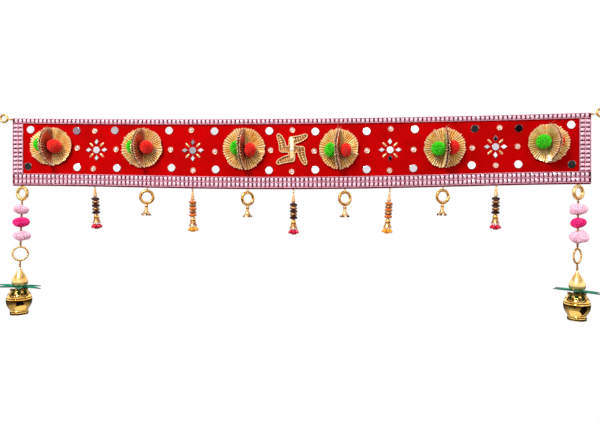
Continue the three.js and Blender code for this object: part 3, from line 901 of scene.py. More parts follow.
away = reach * sine.do("ABSOLUTE")
ripple = crest * (out_share * 1.3 + 0.04).do("MINIMUM", 1.0) * fan_in["Pleat Tall"] * (unlike * 0.5 + 0.65)
lift = sine.do("ABSOLUTE") * out_share.do("POWER", 1.25) * fan_in["Rim Lift"]
fin = even_share.do("GREATER_THAN", 0.5)
laid = fin * -1 + 1
spread = Flow(fan_in["Fold"]) + fan_in["Ribbon"]
away_share = away / fan_in["Reach"]
fan_x = spread + away * laid + (ripple + away_share * away_share * fan_in["Lean"]) * fin
fan_y = Flow(fan_in["Front"]) - (lift + ripple) * laid - away * fin
fan_point = add(fan_tree, "ShaderNodeCombineXYZ", {"X": fan_x, "Y": fan_y, "Z": reach * angle.do("COSINE")})
fan_marked = fan_grid
for word, value in (("crest", crest), ("outward", out_share), ("upright", fin), ("unlike", unlike)):
    fan_marked = stored(fan_tree, fan_marked, word, value)
fan_folded = add(fan_tree, "GeometryNodeSetPosition", {"Geometry": fan_marked, "Position": fan_point})
fan_sewn = add(fan_tree, "GeometryNodeMergeByDistance", {"Geometry": fan_folded, "Distance": 0.02 * mm})
fan_back = add(fan_tree, "GeometryNodeExtrudeMesh", {
    "Mesh": fan_sewn, "Offset Scale": Flow(fan_in["Ribbon"]) * -0.6, "Individual": False,
}, mode="FACES")
fan_turned = add(fan_tree, "GeometryNodeFlipFaces", {"Mesh": fan_back})
fan_both = add(fan_tree, "GeometryNodeJoinGeometry", {0: fan_sewn})
feed(fan_both.inputs[0], fan_turned)
fan_closed = add(fan_tree, "GeometryNodeMergeByDistance", {"Geometry": fan_both, "Distance": 0.005 * mm})
feed(fan_out[0], settled(fan_tree, fan_closed, fan_in["Finish"]))

gilt_ribbon = finish(
    "gilt_ribbon", (250, 192, 92), (255, 234, 166), 7, 0.6, (0.2, 0.34), 0.12,
    Metallic=0.45, Specular_IOR_Level=0.3,
)
# Painted highlight: a third of the pleats are turned paler, as if catching the light
tint_by(gilt_ribbon, "painted_glint", (255, 248, 214), 0.8)
# Painted shade in the valleys between pleats
tint_by(gilt_ribbon, "painted_valley_shade", (160, 80, 24), 0.75)
tint_by(gilt_ribbon, "selvedge", (255, 214, 178), 0.7)
tint_by(gilt_ribbon, "shaded", (164, 8, 0))


def side_mark(piece, name, rule, *sources):
    """Stores a value worked out from those that the tree has stored."""
    given = [[item.value for item in piece.data.attributes[source].data] for source in sources]
    layer = piece.data.attributes.new(name, "FLOAT", "POINT")
    layer.data.foreach_set("value", [rule(*values) for values in zip(*given)])


# How deep the painted shade in the bottoms of each rosette's pleats is, where 1 is usual
fold_shade_depths = (0.75, 1.35, 1.3, 1.1, 1.25, 0.9)
# Each disc's name, its side and how deep in shade its fin is
fin_shades = (("left", -1, 0.35), ("right", 1, 1))
for number, ((x, below), form, fold_shade_depth) in enumerate(zip(rosettes, disc_forms, fold_shade_depths), 1):
    reach_out, tallness, fin_lean = form
    for word, side, shade in fin_shades:
        disc = make_piece(f"pleated_disc_{number}_{word}", ([], []))
        grow(disc, fan_tree, {
            "Pleats": pleats_round, "Rings": rings_out, "Reach": reach_out * mm,
            "Pleat Tall": pleat_tall * mm, "Rim Lift": rim_lift * mm, "Ribbon": ribbon_thick * mm,
            "Fold": gap / 2 * mm, "Front": (band_front - gap - ribbon_thick) * mm,
            "Lean": side * fin_lean * mm, "Seed": number * 60.0 + side * 25, "Finish": gilt_ribbon,
        })
        if side < 0:
            disc.data.transform(Matrix.Diagonal((-1, 1, 1, 1)))
            disc.data.flip_normals()
        middle = Matrix.Translation((x * mm, 0, (rise(x) - below) * mm))
        disc.data.transform(middle @ Matrix.Diagonal((1, 1, tallness, 1)))
        # A third of the pleats get a painted glint, their valleys painted shade to unlike degrees, and the
        # rim is paler
        side_mark(disc, "painted_glint", lambda unlike: max(0, 3 * unlike - 2), "unlike")
        side_mark(disc, "painted_valley_shade", lambda crest, unlike: (
            min(1.3, fold_shade_depth * max(0, 1 - 1.5 * crest) * (0.6 + 0.8 * (unlike * 7 % 1)))
        ), "crest", "unlike")
        side_mark(disc, "selvedge", lambda outward: max(0, outward - 0.88) / 0.12, "outward")
        side_mark(disc, "shaded", lambda upright, crest, outward: (
            upright * shade * (1 - 0.55 * crest * outward) * min(1, 12 * (1 - outward) + 0.1)
        ), "upright", "crest", "outward")
        fix(disc, "gold_ribbon", f"rosette_{number}_{word}")

# The thread that ties a rosette's two folds together is knotted at the top or bottom of the fin.
# It is soft pink and gold yarn, and its cut ends stand out from the knot.
knot_thread = finish(
    "knot_thread", (206, 92, 84), (250, 176, 140), 1.5, 0.5, (0.35, 0.6), 0.08, Metallic=0.2
)
thread_round = 0.5
knot_out = 9
curl_wide = 0.8
tip_forward = 5
# Each knot's rosette, whether it is at the top (1) or the bottom (-1), and its ends' (side, length)
knots = [
    (1, 1, [(-4.5, 3.0), (-1.5, 4.2)]),
    (2, -1, [(-3.0, 2.6), (2.4, 3.4)]),
    (3, -1, [(3.2, 3.6), (6.0, 2.2)]),
    (4, 1, [(-1.2, 8.0), (4.6, 6.4), (7.0, 3.4)]),
    (5, 1, [(2.8, 5.8), (6.4, 6.6), (8.4, 3.0)]),
    (6, 1, [(-3.4, 4.6), (3.0, 5.4), (7.4, 2.6)]),
]


def joined(shapes):
    """One shape of many."""
    points = []
    faces = []
    for more, sides in shapes:
        start = len(points)
        points.extend(more)
        faces.extend(tuple(start + corner for corner in side) for side in sides)
    return points, faces


def curled_thread(start, side, length, way):
    """A thin round thread that leaves a point, bends over to a side and curls forward at its tip."""
    rings = []
    for k in range(13):
        share = k / 12
        middle = Vector(start) + Vector((
            side * share + curl_wide * math.sin(2.4 * math.pi * share) * share,
            -tip_forward * share * share, way * (length * share - 0.9 * share * share),
        ))
        thick = thread_round * (1 - 0.35 * share)
        rings.append([
            middle + Vector((thick * math.cos(j * math.pi / 4), way * thick * math.sin(j * math.pi / 4), 0))
            for j in range(8)
        ])
    return loft(rings)


for number, way, ends in knots:
    (x, below), (reach_out, tallness, fin_lean) = rosettes[number - 1], disc_forms[number - 1]
    up = way * (reach_out * tallness * 0.9)
    start = (x + fin_lean * 0.1, band_front - knot_out, rise(x) - below + up)
    shape = joined([curled_thread(start, side, length, way) for side, length in ends])
    fix(make_piece(f"knot_ends_{number}", shape, knot_thread, sharp=60), "gold_ribbon")

# Two yarn pompoms, one green and one red, are glued one on each side of every rosette's fin.
# Each is a ball of cut acrylic yarn, whose ends stand out evenly all round.
yarn_tree, yarn_in, yarn_out = new_tree("cut_yarn_ball", {
    "Radius": "Float", "Squash": "Float", "Lumps": "Float", "Yarn Long": "Float",
    "Yarn Wide": "Float", "Density": "Float", "Lean": "Float", "Seed": "Int", "Finish": "Material",
})
yarn_core = add(yarn_tree, "GeometryNodeMeshIcoSphere", {
    "Radius": Flow(yarn_in["Radius"]) - yarn_in["Yarn Long"], "Subdivisions": 4,
})
yarn_flat = add(yarn_tree, "ShaderNodeCombineXYZ", {"X": 1.0, "Y": 1.0, "Z": yarn_in["Squash"]})
yarn_swell = add(yarn_tree, "ShaderNodeTexNoise", {
    "W": yarn_in["Seed"], "Scale": 90.0, "Detail": 0.0,
}, noise_dimensions="4D")
yarn_swelling = (Flow(yarn_swell) - 0.5) * yarn_in["Lumps"]
yarn_lump = scaled(yarn_tree, add(yarn_tree, "GeometryNodeInputPosition"), yarn_swelling)
yarn_lumpy = add(yarn_tree, "GeometryNodeSetPosition", {"Geometry": yarn_core, "Offset": yarn_lump})
yarn_body = add(yarn_tree, "GeometryNodeTransform", {"Geometry": yarn_lumpy, "Scale": yarn_flat})
yarn_roots = add(yarn_tree, "GeometryNodeDistributePointsOnFaces", {
    "Mesh": yarn_body, "Density": yarn_in["Density"], "Seed": yarn_in["Seed"],
}, distribute_method="RANDOM")
yarn_end = add(yarn_tree, "GeometryNodeMeshCone", {
    "Vertices": 3, "Radius Top": Flow(yarn_in["Yarn Wide"]) * 0.8,
    "Radius Bottom": yarn_in["Yarn Wide"], "Depth": yarn_in["Yarn Long"],
})
yarn_depth = Flow(place_parts(yarn_tree)["Z"]) / yarn_in["Yarn Long"] * -1 + 1
yarn_tip = stored(yarn_tree, yarn_end, "root", yarn_depth)
yarn_sway = add(yarn_tree, "FunctionNodeRandomValue", {
    0: (-1, -1, -1), 1: (1, 1, 1), "Seed": yarn_in["Seed"],
}, data_type="FLOAT_VECTOR")
yarn_lean = scaled(yarn_tree, yarn_sway, yarn_in["Lean"])
yarn_turn = add(yarn_tree, "FunctionNodeRotateRotation", {
    "Rotation": yarn_roots.outputs["Rotation"], "Rotate By": yarn_lean,
}, rotation_space="LOCAL")
yarn_size = add(yarn_tree, "FunctionNodeRandomValue", {
    2: 0.82, 3: 1.16, "Seed": yarn_in["Seed"],
}, data_type="FLOAT")
yarn_set = add(yarn_tree, "GeometryNodeInstanceOnPoints", {
    "Points": yarn_roots, "Instance": yarn_tip,
    "Rotation": yarn_turn, "Scale": yarn_size.outputs[1],
})
# The core between the yarn ends gets the full painted shade of the roots
yarn_shaded_core = stored(yarn_tree, yarn_body, "root", 1.0)
yarn_real = add(yarn_tree, "GeometryNodeRealizeInstances", {0: yarn_set})
yarn_join = add(yarn_tree, "GeometryNodeJoinGeometry", {0: yarn_shaded_core})
feed(yarn_join.inputs[0], yarn_real)
yarn_finish = add(yarn_tree, "GeometryNodeSetMaterial", {
    "Geometry": yarn_join, "Material": yarn_in["Finish"],
})
feed(yarn_out[0], yarn_finish)


def yarn(name, dark, light, root):
    """Soft cut yarn with painted shade that darkens it towards its roots and over its core."""
    material = finish(
        name, dark, light, 4, 0.35, (0.8, 0.95), 0.2,
        Specular_IOR_Level=0.1, Sheen_Weight=0.8, Sheen_Roughness=0.5, Sheen_Tint=tone(*light),
    )
    # Painted shade towards the roots, where the ends shade one another
    tint_by(material, "root", root, 0.3)
    return material


green_yarn = yarn("green_yarn", (40, 208, 26), (112, 244, 66), (6, 130, 6))
red_yarn = yarn("red_yarn", (255, 26, 26), (255, 90, 78), (242, 6, 14))
pompom_radius = 11.2
pompom_out = 14
pompom_drop = 2
yarn_long = 2.6
yarn_wide = 0.4
# How far each rosette's green and red ball sit to the right of and above their even places, and
# how much each is pressed flat against the fin
pompom_shifts = [
    ((1.9, 3.6, 0.9), (-2.6, 0.8, 1)), ((1.5, 2, 0.82), (-3, 1.3, 0.92)),
    ((2, 2.3, 0.82), (-2.6, -1.1, 0.86)), ((0, -1.3, 0.86), (-3.2, -1.3, 0.8)),
    ((1.6, -0.8, 1), (-3, 1, 0.83)), ((1.8, 2.6, 1), (-4.5, 3.4, 0.85)),
]
pompom_depth = band_front - gap - ribbon_thick - pleat_tall - gap - pompom_radius


def yarn_ball(name, sizes, place, turn=0.0, width=1.0):
    """A ball of cut yarn grown at the origin, pressed flat, tipped sideways and put in its place."""
    ball = make_piece(name, ([], []))
    grow(ball, yarn_tree, sizes)
    pressed = Matrix.Rotation(turn * deg, 4, "Y") @ Matrix.Diagonal((width, 1, 1, 1))
    ball.data.transform(Matrix.Translation(Vector(place) * mm) @ pressed)
    return ball


for number, ((x, below), shifts) in enumerate(zip(rosettes, pompom_shifts), 1):
    balls = (("green", -1, green_yarn, shifts[0]), ("red", 1, red_yarn, shifts[1]))
    for word, side, material, (right, up, width) in balls:
        ball = yarn_ball(f"yarn_pompom_{number}_{word}", {
            "Radius": pompom_radius * mm, "Squash": 1.0, "Lumps": 0.1, "Yarn Long": yarn_long * mm,
            "Yarn Wide": yarn_wide * mm, "Density": 3.2e6, "Lean": 0.35, "Seed": number * 2 + side,
            "Finish": material,
        }, (x + side * pompom_out + right, pompom_depth, rise(x) - below - pompom_drop + up), 0, width)
        fix(ball, f"{word}_yarn", f"pompom_{number}_{word}")

# A gilt wire ring at each upper corner takes the nail that the toran hangs from.
# Its eye is sewn into the band's end with a few turns of thread.
hang_x = 494
hang_z = 5.4
hang_radius = 6.25
hang_wire = 1.75
eye_end = band_long / 2 + gap
eye_turns = 7
eye_pitch = 0.75
eye_below = 2


def wire_ring(radius, wire, turn=0.0, steps=56, sides=12, dent=0.0, dents=0):
    """A closed ring in the upright plane, turned about Z; dents press its wire in at even places."""
    points = []
    faces = []
    for k in range(steps):
        around = 2 * math.pi * k / steps
        thick = wire * (1 - dent * 0.5 * (1 - math.cos(dents * around)))
        for j in range(sides):
            across = 2 * math.pi * j / sides
            out = radius + thick * math.cos(across)
            points.append((out * math.cos(around), thick * math.sin(across), out * math.sin(around)))
    for k in range(steps):
        for j in range(sides):
            near, far = k * sides, (k + 1) % steps * sides
            after = (j + 1) % sides
            faces.append((near + j, near + after, far + after, far + j))
    return moved((points, faces), Matrix.Rotation(turn * deg, 4, "Z"))


def moved(shape, matrix):
    points, faces = shape
    return [matrix @ Vector(point) for point in points], faces


def shifted(shape, x, y, z):
    return moved(shape, Matrix.Translation((x, y, z)))


def rod(start, end, radius, sides=10, swell=0.0):
    """A round rod or thread between two points, thicker at its middle by its swell."""
    start, end = Vector(start), Vector(end)
    turn = (end - start).to_track_quat("Z", "Y").to_matrix()
    rings = []
    steps = 6
    for k in range(steps + 1):
        share = k / steps
        thick = radius * (1 + swell * math.sin(math.pi * share))
        middle = start.lerp(end, share)
        rings.append([
            middle + turn @ Vector((
                thick * math.cos(2 * math.pi * j / sides), thick * math.sin(2 * math.pi * j / sides), 0
            )) for j in range(sides)
        ])
    return loft(rings)


gold_thread = finish(
    "gold_thread", (150, 110, 60), (214, 178, 116), 2, 0.3, (0.4, 0.6), 0.12, Metallic=0.4
)
for word, side in (("left", -1), ("right", 1)):
    ring = wire_ring(hang_radius, hang_wire, 0, dent=0.06, dents=28)
    eye = []
    for k in range(eye_turns):
        eye_at = side * (eye_end - hang_x + 1.0 + k * eye_pitch)
        eye.append(shifted(wire_ring(1.05, 0.34, 90, 20, 6), eye_at, 0, -eye_below))
    stem = rod((side * (eye_end - hang_x), 0, -eye_below), (side * -hang_radius, 0, -eye_below), 0.8, 8)
    piece = make_piece(
        f"hanging_ring_{word}", shifted(joined([ring, stem, *eye]), side * hang_x, 0, hang_z), gold_metal,
        sharp=60,
    )
    fix(piece, "gold_metal", f"hang_ring_{word}")

# Four drops hang along the hem between the beaded ones: a gilt ring with a beaded rim, sewn on by a
# thread eye, and below it a small open flower bell with beads in its mouth.
bell_ring_radius = 10
bell_ring_wire = 2.3
bell_ring_below = 15.5
mouth_below = 19.4
mouth_radius = 6.5
seed_radius = 1.9
# Each drop's place along the hem, its ring's turn about the upright and its lean to the right
bell_drops = [(-246, 22, -2.5), (-76, 36, -1), (84.5, 24, 0), (244, 14, -2.5)]


def bead_shape(radius, sides=8):
    """A small round bead of few faces."""
    heights = (0.93, 0.5, -0.1, -0.62, -0.95)
    return turned([(radius * math.sqrt(1 - h * h), radius * h) for h in heights], sides)


def rim_places(middle, radius, count, turn, size=1.0, depth=0.0):
    """Even places round an upright ring that is turned about Z."""
    places = []
    for k in range(count):
        around = 2 * math.pi * k / count
        point = Vector((radius * math.cos(around), depth, radius * math.sin(around)))
        places.append((Vector(middle) + Matrix.Rotation(turn * deg, 3, "Z") @ point, (0, 0, 0), size))
    return places


def smoothed(profile, steps=4):
    """A profile with extra points on a smooth curve through its own."""
    fuller = []
    padded = [profile[0], *profile, profile[-1]]
    for before, here, after, beyond in zip(padded, padded[1:], padded[2:], padded[3:]):
        for k in range(steps):
            t = k / steps
            fuller.append(tuple(
                0.5 * (2 * b + (c - a) * t + (2 * a - 5 * b + 4 * c - d) * t * t
                       + (3 * b - a - 3 * c + d) * t ** 3)
                for a, b, c, d in zip(before, here, after, beyond)
            ))
    return fuller + [profile[-1]]


def hang(piece, x, lean):
    """Hangs a piece, made with its top at the origin, from the hem, swung to one side by its lean."""
    place = Matrix.Translation(Vector((x, 0, hem_at(x))) * mm)
    piece.data.transform(place @ Matrix.Rotation(-lean * deg, 4, "Y"))
    return piece


def hang_all(x, lean, *parts):
    """Hangs each piece of a drop and fixes it, with the solids that it stands for."""
    for piece, slot_name, *nodes in parts:
        fix(hang(piece, x, lean), slot_name, *nodes)


def eye_links(top, bottom, radius, wire):
    """A short chain of thread loops, each turned across the last."""
    count = max(1, round((top - bottom) / (2 * radius - wire)))
    step = (top - bottom) / count
    return [
        shifted(stretched(wire_ring(radius, wire, 90 * (k % 2), 20, 8), 1, 1, step / (2 * radius - wire)),
                0, 0, top - step * (k + 0.5))
        for k in range(count)
    ]


bell_profile = smoothed([
    (1.2, 0), (1.7, -2.2), (2.9, -4.2), (2.7, -7), (3.1, -11), (4.4, -15), (7.9, -18.9),
])
bell_inside = [(8.2, -19.5), (7.7, -19.8), (5.8, -17.8), (3.4, -15.6), (1.2, -14.8)]


def flower_mouth(radius, height, angle):
    """Five petals part the bell's mouth."""
    share = max(0, min(1, (radius - 3.6) / 4.6)) if height < -13 else 0
    return radius * (1 - 0.18 * share * (1 - abs(math.cos(2.5 * angle)))), height


for number, (x, turn, lean) in enumerate(bell_drops, 1):
    middle = (0, 0, -bell_ring_below)
    bell_top = -bell_ring_below - bell_ring_radius
    ring = shifted(wire_ring(bell_ring_radius, bell_ring_wire, turn), *middle)
    eye = eye_links(-0.2, bell_top + 2 * bell_ring_radius - 1, 1.2, 0.45)
    bell = shifted(turned(bell_profile + bell_inside, 40, flower_mouth), 0, 0, bell_top)
    knot = shifted(wire_ring(2.1, 0.6, 90, 20, 8), 0, 0, bell_top - 1)
    rim = rim_places(middle, bell_ring_radius + bell_ring_wire - 0.2, 46, turn)
    for depth in (0.1 - bell_ring_wire, bell_ring_wire - 0.1):
        rim += rim_places(middle, bell_ring_radius, 36, turn, 0.8, depth)
    mouth = [
        ((mouth_radius * math.cos(a), mouth_radius * math.sin(a), bell_top - mouth_below), (0, 0, 0), 1)
        for a in (2 * math.pi * (k + 0.1 * number) / 5 for k in range(5))
    ]
    frame_piece = make_piece(f"ring_and_bell_{number}", joined([ring, knot, *eye]), gold_metal, sharp=60)
    bell_piece = make_piece(f"flower_bell_{number}", bell, string_gilt, sharp=50)
    beading = set_out(f"ring_beading_{number}", bead_shape(0.72, 7), rim, gold_metal, sharp=60)
    seeds = set_out(f"bell_seeds_{number}", bead_shape(seed_radius, 10), mouth, dark_hollow, sharp=60)
    hang_all(
        x, lean, (frame_piece, "gold_metal", f"bell_drop_{number}"), (bell_piece, "gold_metal"),
        (beading, "gold_metal"), (seeds, "gold_metal"),
    )

# Five beaded strings hang along the hem: a gilt cone on a thread loop, three faceted glass beads with
# gilt spacers, and a fluted bell cap over a cluster of small glass drops.
dark_glass = finish(
    "dark_glass", (26, 6, 4), (66, 24, 14), 3, 1.5, (0.12, 0.22), 0.03, Specular_IOR_Level=0.2
)
tint_by(dark_glass, "low", (140, 92, 66), 0.8)
amber_glass = finish(
    "amber_glass", (178, 78, 28), (214, 118, 54), 3, 1.5, (0.12, 0.22), 0.03,
    Specular_IOR_Level=0.25,
)
tint_by(amber_glass, "low", (214, 150, 84), 0.6)
orange_glass = finish(
    "orange_glass", (240, 134, 16), (255, 176, 60), 2.5, 1.2, (0.08, 0.16), 0.03,
    Specular_IOR_Level=0.4,
)
ruby_glass = finish(
    "ruby_glass", (176, 4, 40), (222, 24, 66), 2.5, 1.2, (0.08, 0.16), 0.03,
    Specular_IOR_Level=0.4,
)
# Each string's place, the distance of its first glass bead below the hem, their pitch, its lean to
# the right, and whether its glass is dark or warm
beaded_drops = [
    (-336, 20.7, 11.3, 3.2, "dark"), (-169, 23, 10.6, 0.8, "warm"), (0, 25.6, 10.6, 0, "dark"),
    (158, 25.5, 10.5, -3.6, "warm"), (329, 21.2, 11.1, -1.7, "dark"),
]
# Each kind of string's glass for its beads and for its drops, with their slots
glasses = {
    "dark": (dark_glass, "dark_beads", ruby_glass, "ruby_beads"),
    "warm": (amber_glass, "amber_beads", orange_glass, "amber_beads"),
}
cone_profile = smoothed([
    (1.0, 17.4), (1.7, 17.0), (2.0, 14.5), (2.6, 9.5), (3.4, 5.6), (3.2, 4.4), (1.6, 3.8),
])
rondelle_profile = [(2.4, 3.0), (4.9, 2.3), (6.5, 0.75), (6.5, -0.75), (4.9, -2.3), (2.4, -3.0)]
spacer_profile = [(2.4, 2.6), (4.6, 2.2), (5.6, 0.9), (5.6, -0.9), (4.6, -2.2), (2.4, -2.6)]
dome_profile = smoothed([(1.5, 0.7), (2.9, 0.2), (4.0, -1.6), (4.5, -3.8), (4.3, -5.6), (3.6, -6.2)])
skirt_profile = smoothed([(3.4, -5.8), (4.6, -6.6), (5.0, -8.6), (5.9, -11), (7.0, -13.2)], 3)
skirt_inside = [(7.1, -13.7), (6.5, -13.8), (5.2, -12.4), (1.2, -11.8)]
drop_shape = turned(smoothed([
    (0.35, 4.2), (0.9, 3.0), (2.0, 0.7), (2.6, -1.4), (2.0, -3.2), (0.5, -4.0)
], 2), 9)


def fluted(radius, height, angle):
    """Eight flutes open towards the skirt's mouth."""
    share = max(0, min(1, (-height - 6) / 7))
    out = radius * (1 - 0.16 * share * (1 - abs(math.cos(4 * angle))))
    return out, height - 0.8 * share * math.cos(8 * angle)


def ribbed(radius, height, angle):
    return radius * (1 + 0.05 * math.cos(12 * angle)), height


for number, (x, first, pitch, lean, kind) in enumerate(beaded_drops, 1):
    glass, beads_slot, drop_glass, drops_slot = glasses[kind]
    beads_at = [-first - pitch * k for k in range(3)]
    cap_at = beads_at[2] - 4
    gilt = [rod((0, 0, -0.4), (0, 0, cap_at - 12), 0.45, 8)]
    gilt += eye_links(-0.2, beads_at[0] + 17.2, 1.25, 0.42)
    gilt.append(shifted(turned(dome_profile, 28), 0, 0, cap_at))
    string = make_piece(f"bead_string_{number}", joined(gilt), gold_metal, sharp=50)
    cone_shape = shifted(turned(cone_profile, 24), 0, 0, beads_at[0])
    cone = make_piece(f"gilt_cone_{number}", cone_shape, string_gilt, sharp=45)
    worn = [shifted(turned(skirt_profile + skirt_inside, 48, fluted), 0, 0, cap_at)]
    for upper, lower in zip(beads_at, beads_at[1:]):
        worn.append(shifted(turned(spacer_profile, 36, ribbed), 0, 0, (upper + lower) / 2))
    spacers = make_piece(f"gilt_beads_{number}", joined(worn), old_gilt, sharp=45)
    rondelle_places = [((0, 0, z), (3 * k - 3, 4 - 3 * k, 11 * k), 1) for k, z in enumerate(beads_at)]
    rondelles = set_out(
        f"glass_beads_{number}", turned(rondelle_profile, 12), rondelle_places, glass, sharp=12
    )
    mark(rondelles, "low", lambda px, py, pz: 1.0 if any(-3.4 < pz - z < -1.5 for z in beads_at) else 0.0)
    cluster = []
    for ring_radius, count, low, tip in ((5.9, 7, 18.6, 26), (2.2, 3, 20.2, 6)):
        for k in range(count):
            around = 2 * math.pi * (k + 0.5 * (count == 3)) / count + number
            place = (ring_radius * math.cos(around), ring_radius * math.sin(around), cap_at - low)
            out_tip = Matrix.Rotation(around, 3, "Z") @ Matrix.Rotation(-tip * deg, 3, "Y")
            cluster.append((place, [a / deg for a in out_tip.to_euler()], 1))
    drops = set_out(f"glass_drops_{number}", drop_shape, cluster, drop_glass, sharp=50)
    hang_all(
        x, lean, (string, "gold_metal", f"beaded_drop_{number}"), (cone, "gold_metal"),
        (spacers, "gold_metal"), (rondelles, beads_slot), (drops, drops_slot),
    )
    if number == 3:
        clear_place = [((0, 0, beads_at[0] + 4.6), (0, 0, 0), 1)]
        clear_bead = set_out("clear_pink_bead", bead_shape(2.6, 14), clear_place, pearl_disc)
        hang_all(x, lean, (clear_bead, "clear_stone"))

# A long hanging ends each side of the band: a beaded ring, three puffs of pleated net on a beaded
# thread, a thin twisted ring, and below it a gilt coconut in a collar of leaves on a gilt pot.
upper_ring_radius = 9.7
upper_ring_wire = 2.7
upper_ring_below = 12.8
lower_ring_radius = 11.5
lower_ring_wire = 1.8
lower_ring_below = 115.2
# Each side's name, place along the band and lean to the right, the turns of its two rings, and how
# far the collar's leaves rise towards the front
sides = [("left", -461.5, -6, -12, 25, 2.5), ("right", 458.5, -2.5, 25, 36, 1.5)]
# Each puff's place below the hem and colour, and on each side its radius, height share, tip to the
# side and shift to the right
puffs = [(40.2, "pink"), (61.8, "magenta"), (84.8, "pink")]
puff_forms = {
    "left": [(12.4, 0.52, 11, -1.6), (12.9, 0.60, -3, 0), (12.3, 0.56, 11, 1.6)],
    "right": [(13.0, 0.60, -5, 0), (11.3, 0.68, -9, 0.4), (14.2, 0.60, -12, 2.4)],
}
coconut_top = 138.4
pot_top = 173.2
collar_rest = 1.5
collar_tilt = 5
leaf_long = 38
# Distances below the hem of the thread's two runs, of the eyes that end them and of its small beads
thread_runs = [(24.6, 102.4), (128, coconut_top + 1)]
thread_eyes = [25.4, 102.2, 128.9]
thread_beads = [27.9, 31.4, 49.6, 52.8, 71.6, 75.0, 93.4, 96.6, 99.8, 130.6, 133.6, 136.6]
pink_net = yarn("pink_net", (255, 184, 210), (255, 222, 235), (255, 186, 210))
magenta_yarn = yarn("magenta_yarn", (255, 12, 120), (255, 80, 168), (228, 0, 96))
# Each colour's finish and slot, how lumpy its puff is, and its strands' length, width and lean
nets = {
    "pink": (pink_net, "pink_yarn", 0.9, 2.7, 0.78, 0.5),
    "magenta": (magenta_yarn, "magenta_yarn", 0.3, 1.8, 0.48, 0.3),
}
leaf_cloth = finish(
    "leaf_cloth", (4, 94, 70), (20, 140, 106), 7, 0.8, (0.4, 0.6), 0.1, Specular_IOR_Level=0.15
)
tint_by(leaf_cloth, "tip", (52, 66, 60))
satin_gold = finish(
    "satin_gold", (222, 172, 96), (250, 216, 150), 16, 3, (0.24, 0.34), 0.04, Metallic=0.85
)
bright_gold = finish(
    "bright_gold", (224, 156, 60), (255, 212, 122), 14, 4, (0.03, 0.08), 0.02, Metallic=1.0
)
# Near black on the pot: patina in the engraving, darker fields above the petals and painted shade round the
# neck
tint_by(bright_gold, "recess", (30, 12, 4), 0.94)

coconut_profile = smoothed([
    (0.5, 0.6), (1.6, -0.6), (3.4, -4.6), (7.1, -10.7), (10.3, -17), (11.9, -23), (12.0, -27), (10.8, -30),
    (8.5, -31),
])
pot_profile = smoothed([
    (4, -0.3), (11.8, -0.1), (13.4, -0.7), (13.6, -2.0), (12.9, -3.8), (15.8, -7.8), (18.3, -13),
    (19.5, -18), (19.5, -23), (18.4, -28), (15.9, -33), (13.9, -35.8), (13.3, -37.2), (13.9, -38.8),
    (13.8, -44.1), (13.2, -44.6),
], 7)
# How far below its rim the pot's engraved petals, belly line, scroll and foot line lie, how tall the
# petals are and how deep the engraving is
petals_below = 8.2
petals_tall = 5.6
belly_line_below = 16.6
scroll_below = 22.6
foot_line_below = 39.8
engraving_deep = 0.55


def groove(distance, half):
    """How deep a round-bottomed groove of a half width is at a distance from its middle."""
    return math.exp(-((distance / half) ** 2))


def pot_relief(height, angle):
    """Engraving of the belly: pointed petals above, a faint scroll below, and a line between them."""
    petal = abs((angle / math.pi * 3) % 1 - 0.5) * 2
    petals = groove(height + petals_below + petals_tall * (1 - petal), 0.7)
    scroll = groove(height + scroll_below + 2.6 * math.sin(6 * angle) + 0.9 * math.sin(18 * angle), 0.7)
    lines = groove(height + belly_line_below, 0.6) + groove(height + foot_line_below, 0.5)
    stem = groove((petal - 0.5) * 6, 0.9) * groove(height + 11, 2.2)
    return -min(1, petals + 0.25 * scroll + lines + 0.6 * stem)


def pot_darkening(height, angle):
    """Dark patina in the engraving, darker pointed fields above the petals, and painted shade round the
    neck under the leaf collar.
    """
    petal = abs((angle / math.pi * 3) % 1 - 0.5) * 2
    below_neck = min(1, max(0, (-6.4 - height) / 0.8))
    field = min(1, max(0, (height + 13.0 - petals_tall * petal) / 1.2)) * below_neck
    # Painted shade round the rim and neck, under the leaf collar
    neck = 0.8 * min(1, max(0, (height + 5.4) / 1.2))
    return min(1, max(neck, 0.9 * field * (petal < 0.75) - 1.3 * pot_relief(height, angle)))


def embossed(radius, height, angle):
    return radius + engraving_deep * pot_relief(height, angle) * (radius > 12), height


def leaf_blade(angle, lift):
    """One leaf of the collar: a thin blade with a folded midrib, whose tip rises by its lift."""
    widths = [
        (5, 2.2), (9, 3.6), (14, 5.3), (18, 6.0), (23, 5.5), (28, 4.3), (33, 2.5), (36.6, 0.9), (37.8, 0.2),
    ]
    across = (-1, -0.6, -0.12, 0, 0.12, 0.6, 1)
    rings = []
    for reach_out, half in widths:
        sag = lift * (reach_out / leaf_long) ** 1.5
        ring = []
        for shares, narrower, out in ((across, 1, 0.3), (across[::-1], 0.98, -0.3)):
            for share in shares:
                crease = 1.5 * abs(share) * half / 6 - 0.35 * (abs(share) < 0.05)
                ring.append((reach_out, half * share * narrower, sag + crease + out))
        rings.append(ring[::-1])
    return moved(loft(rings), Matrix.Rotation(angle, 4, "Z"))


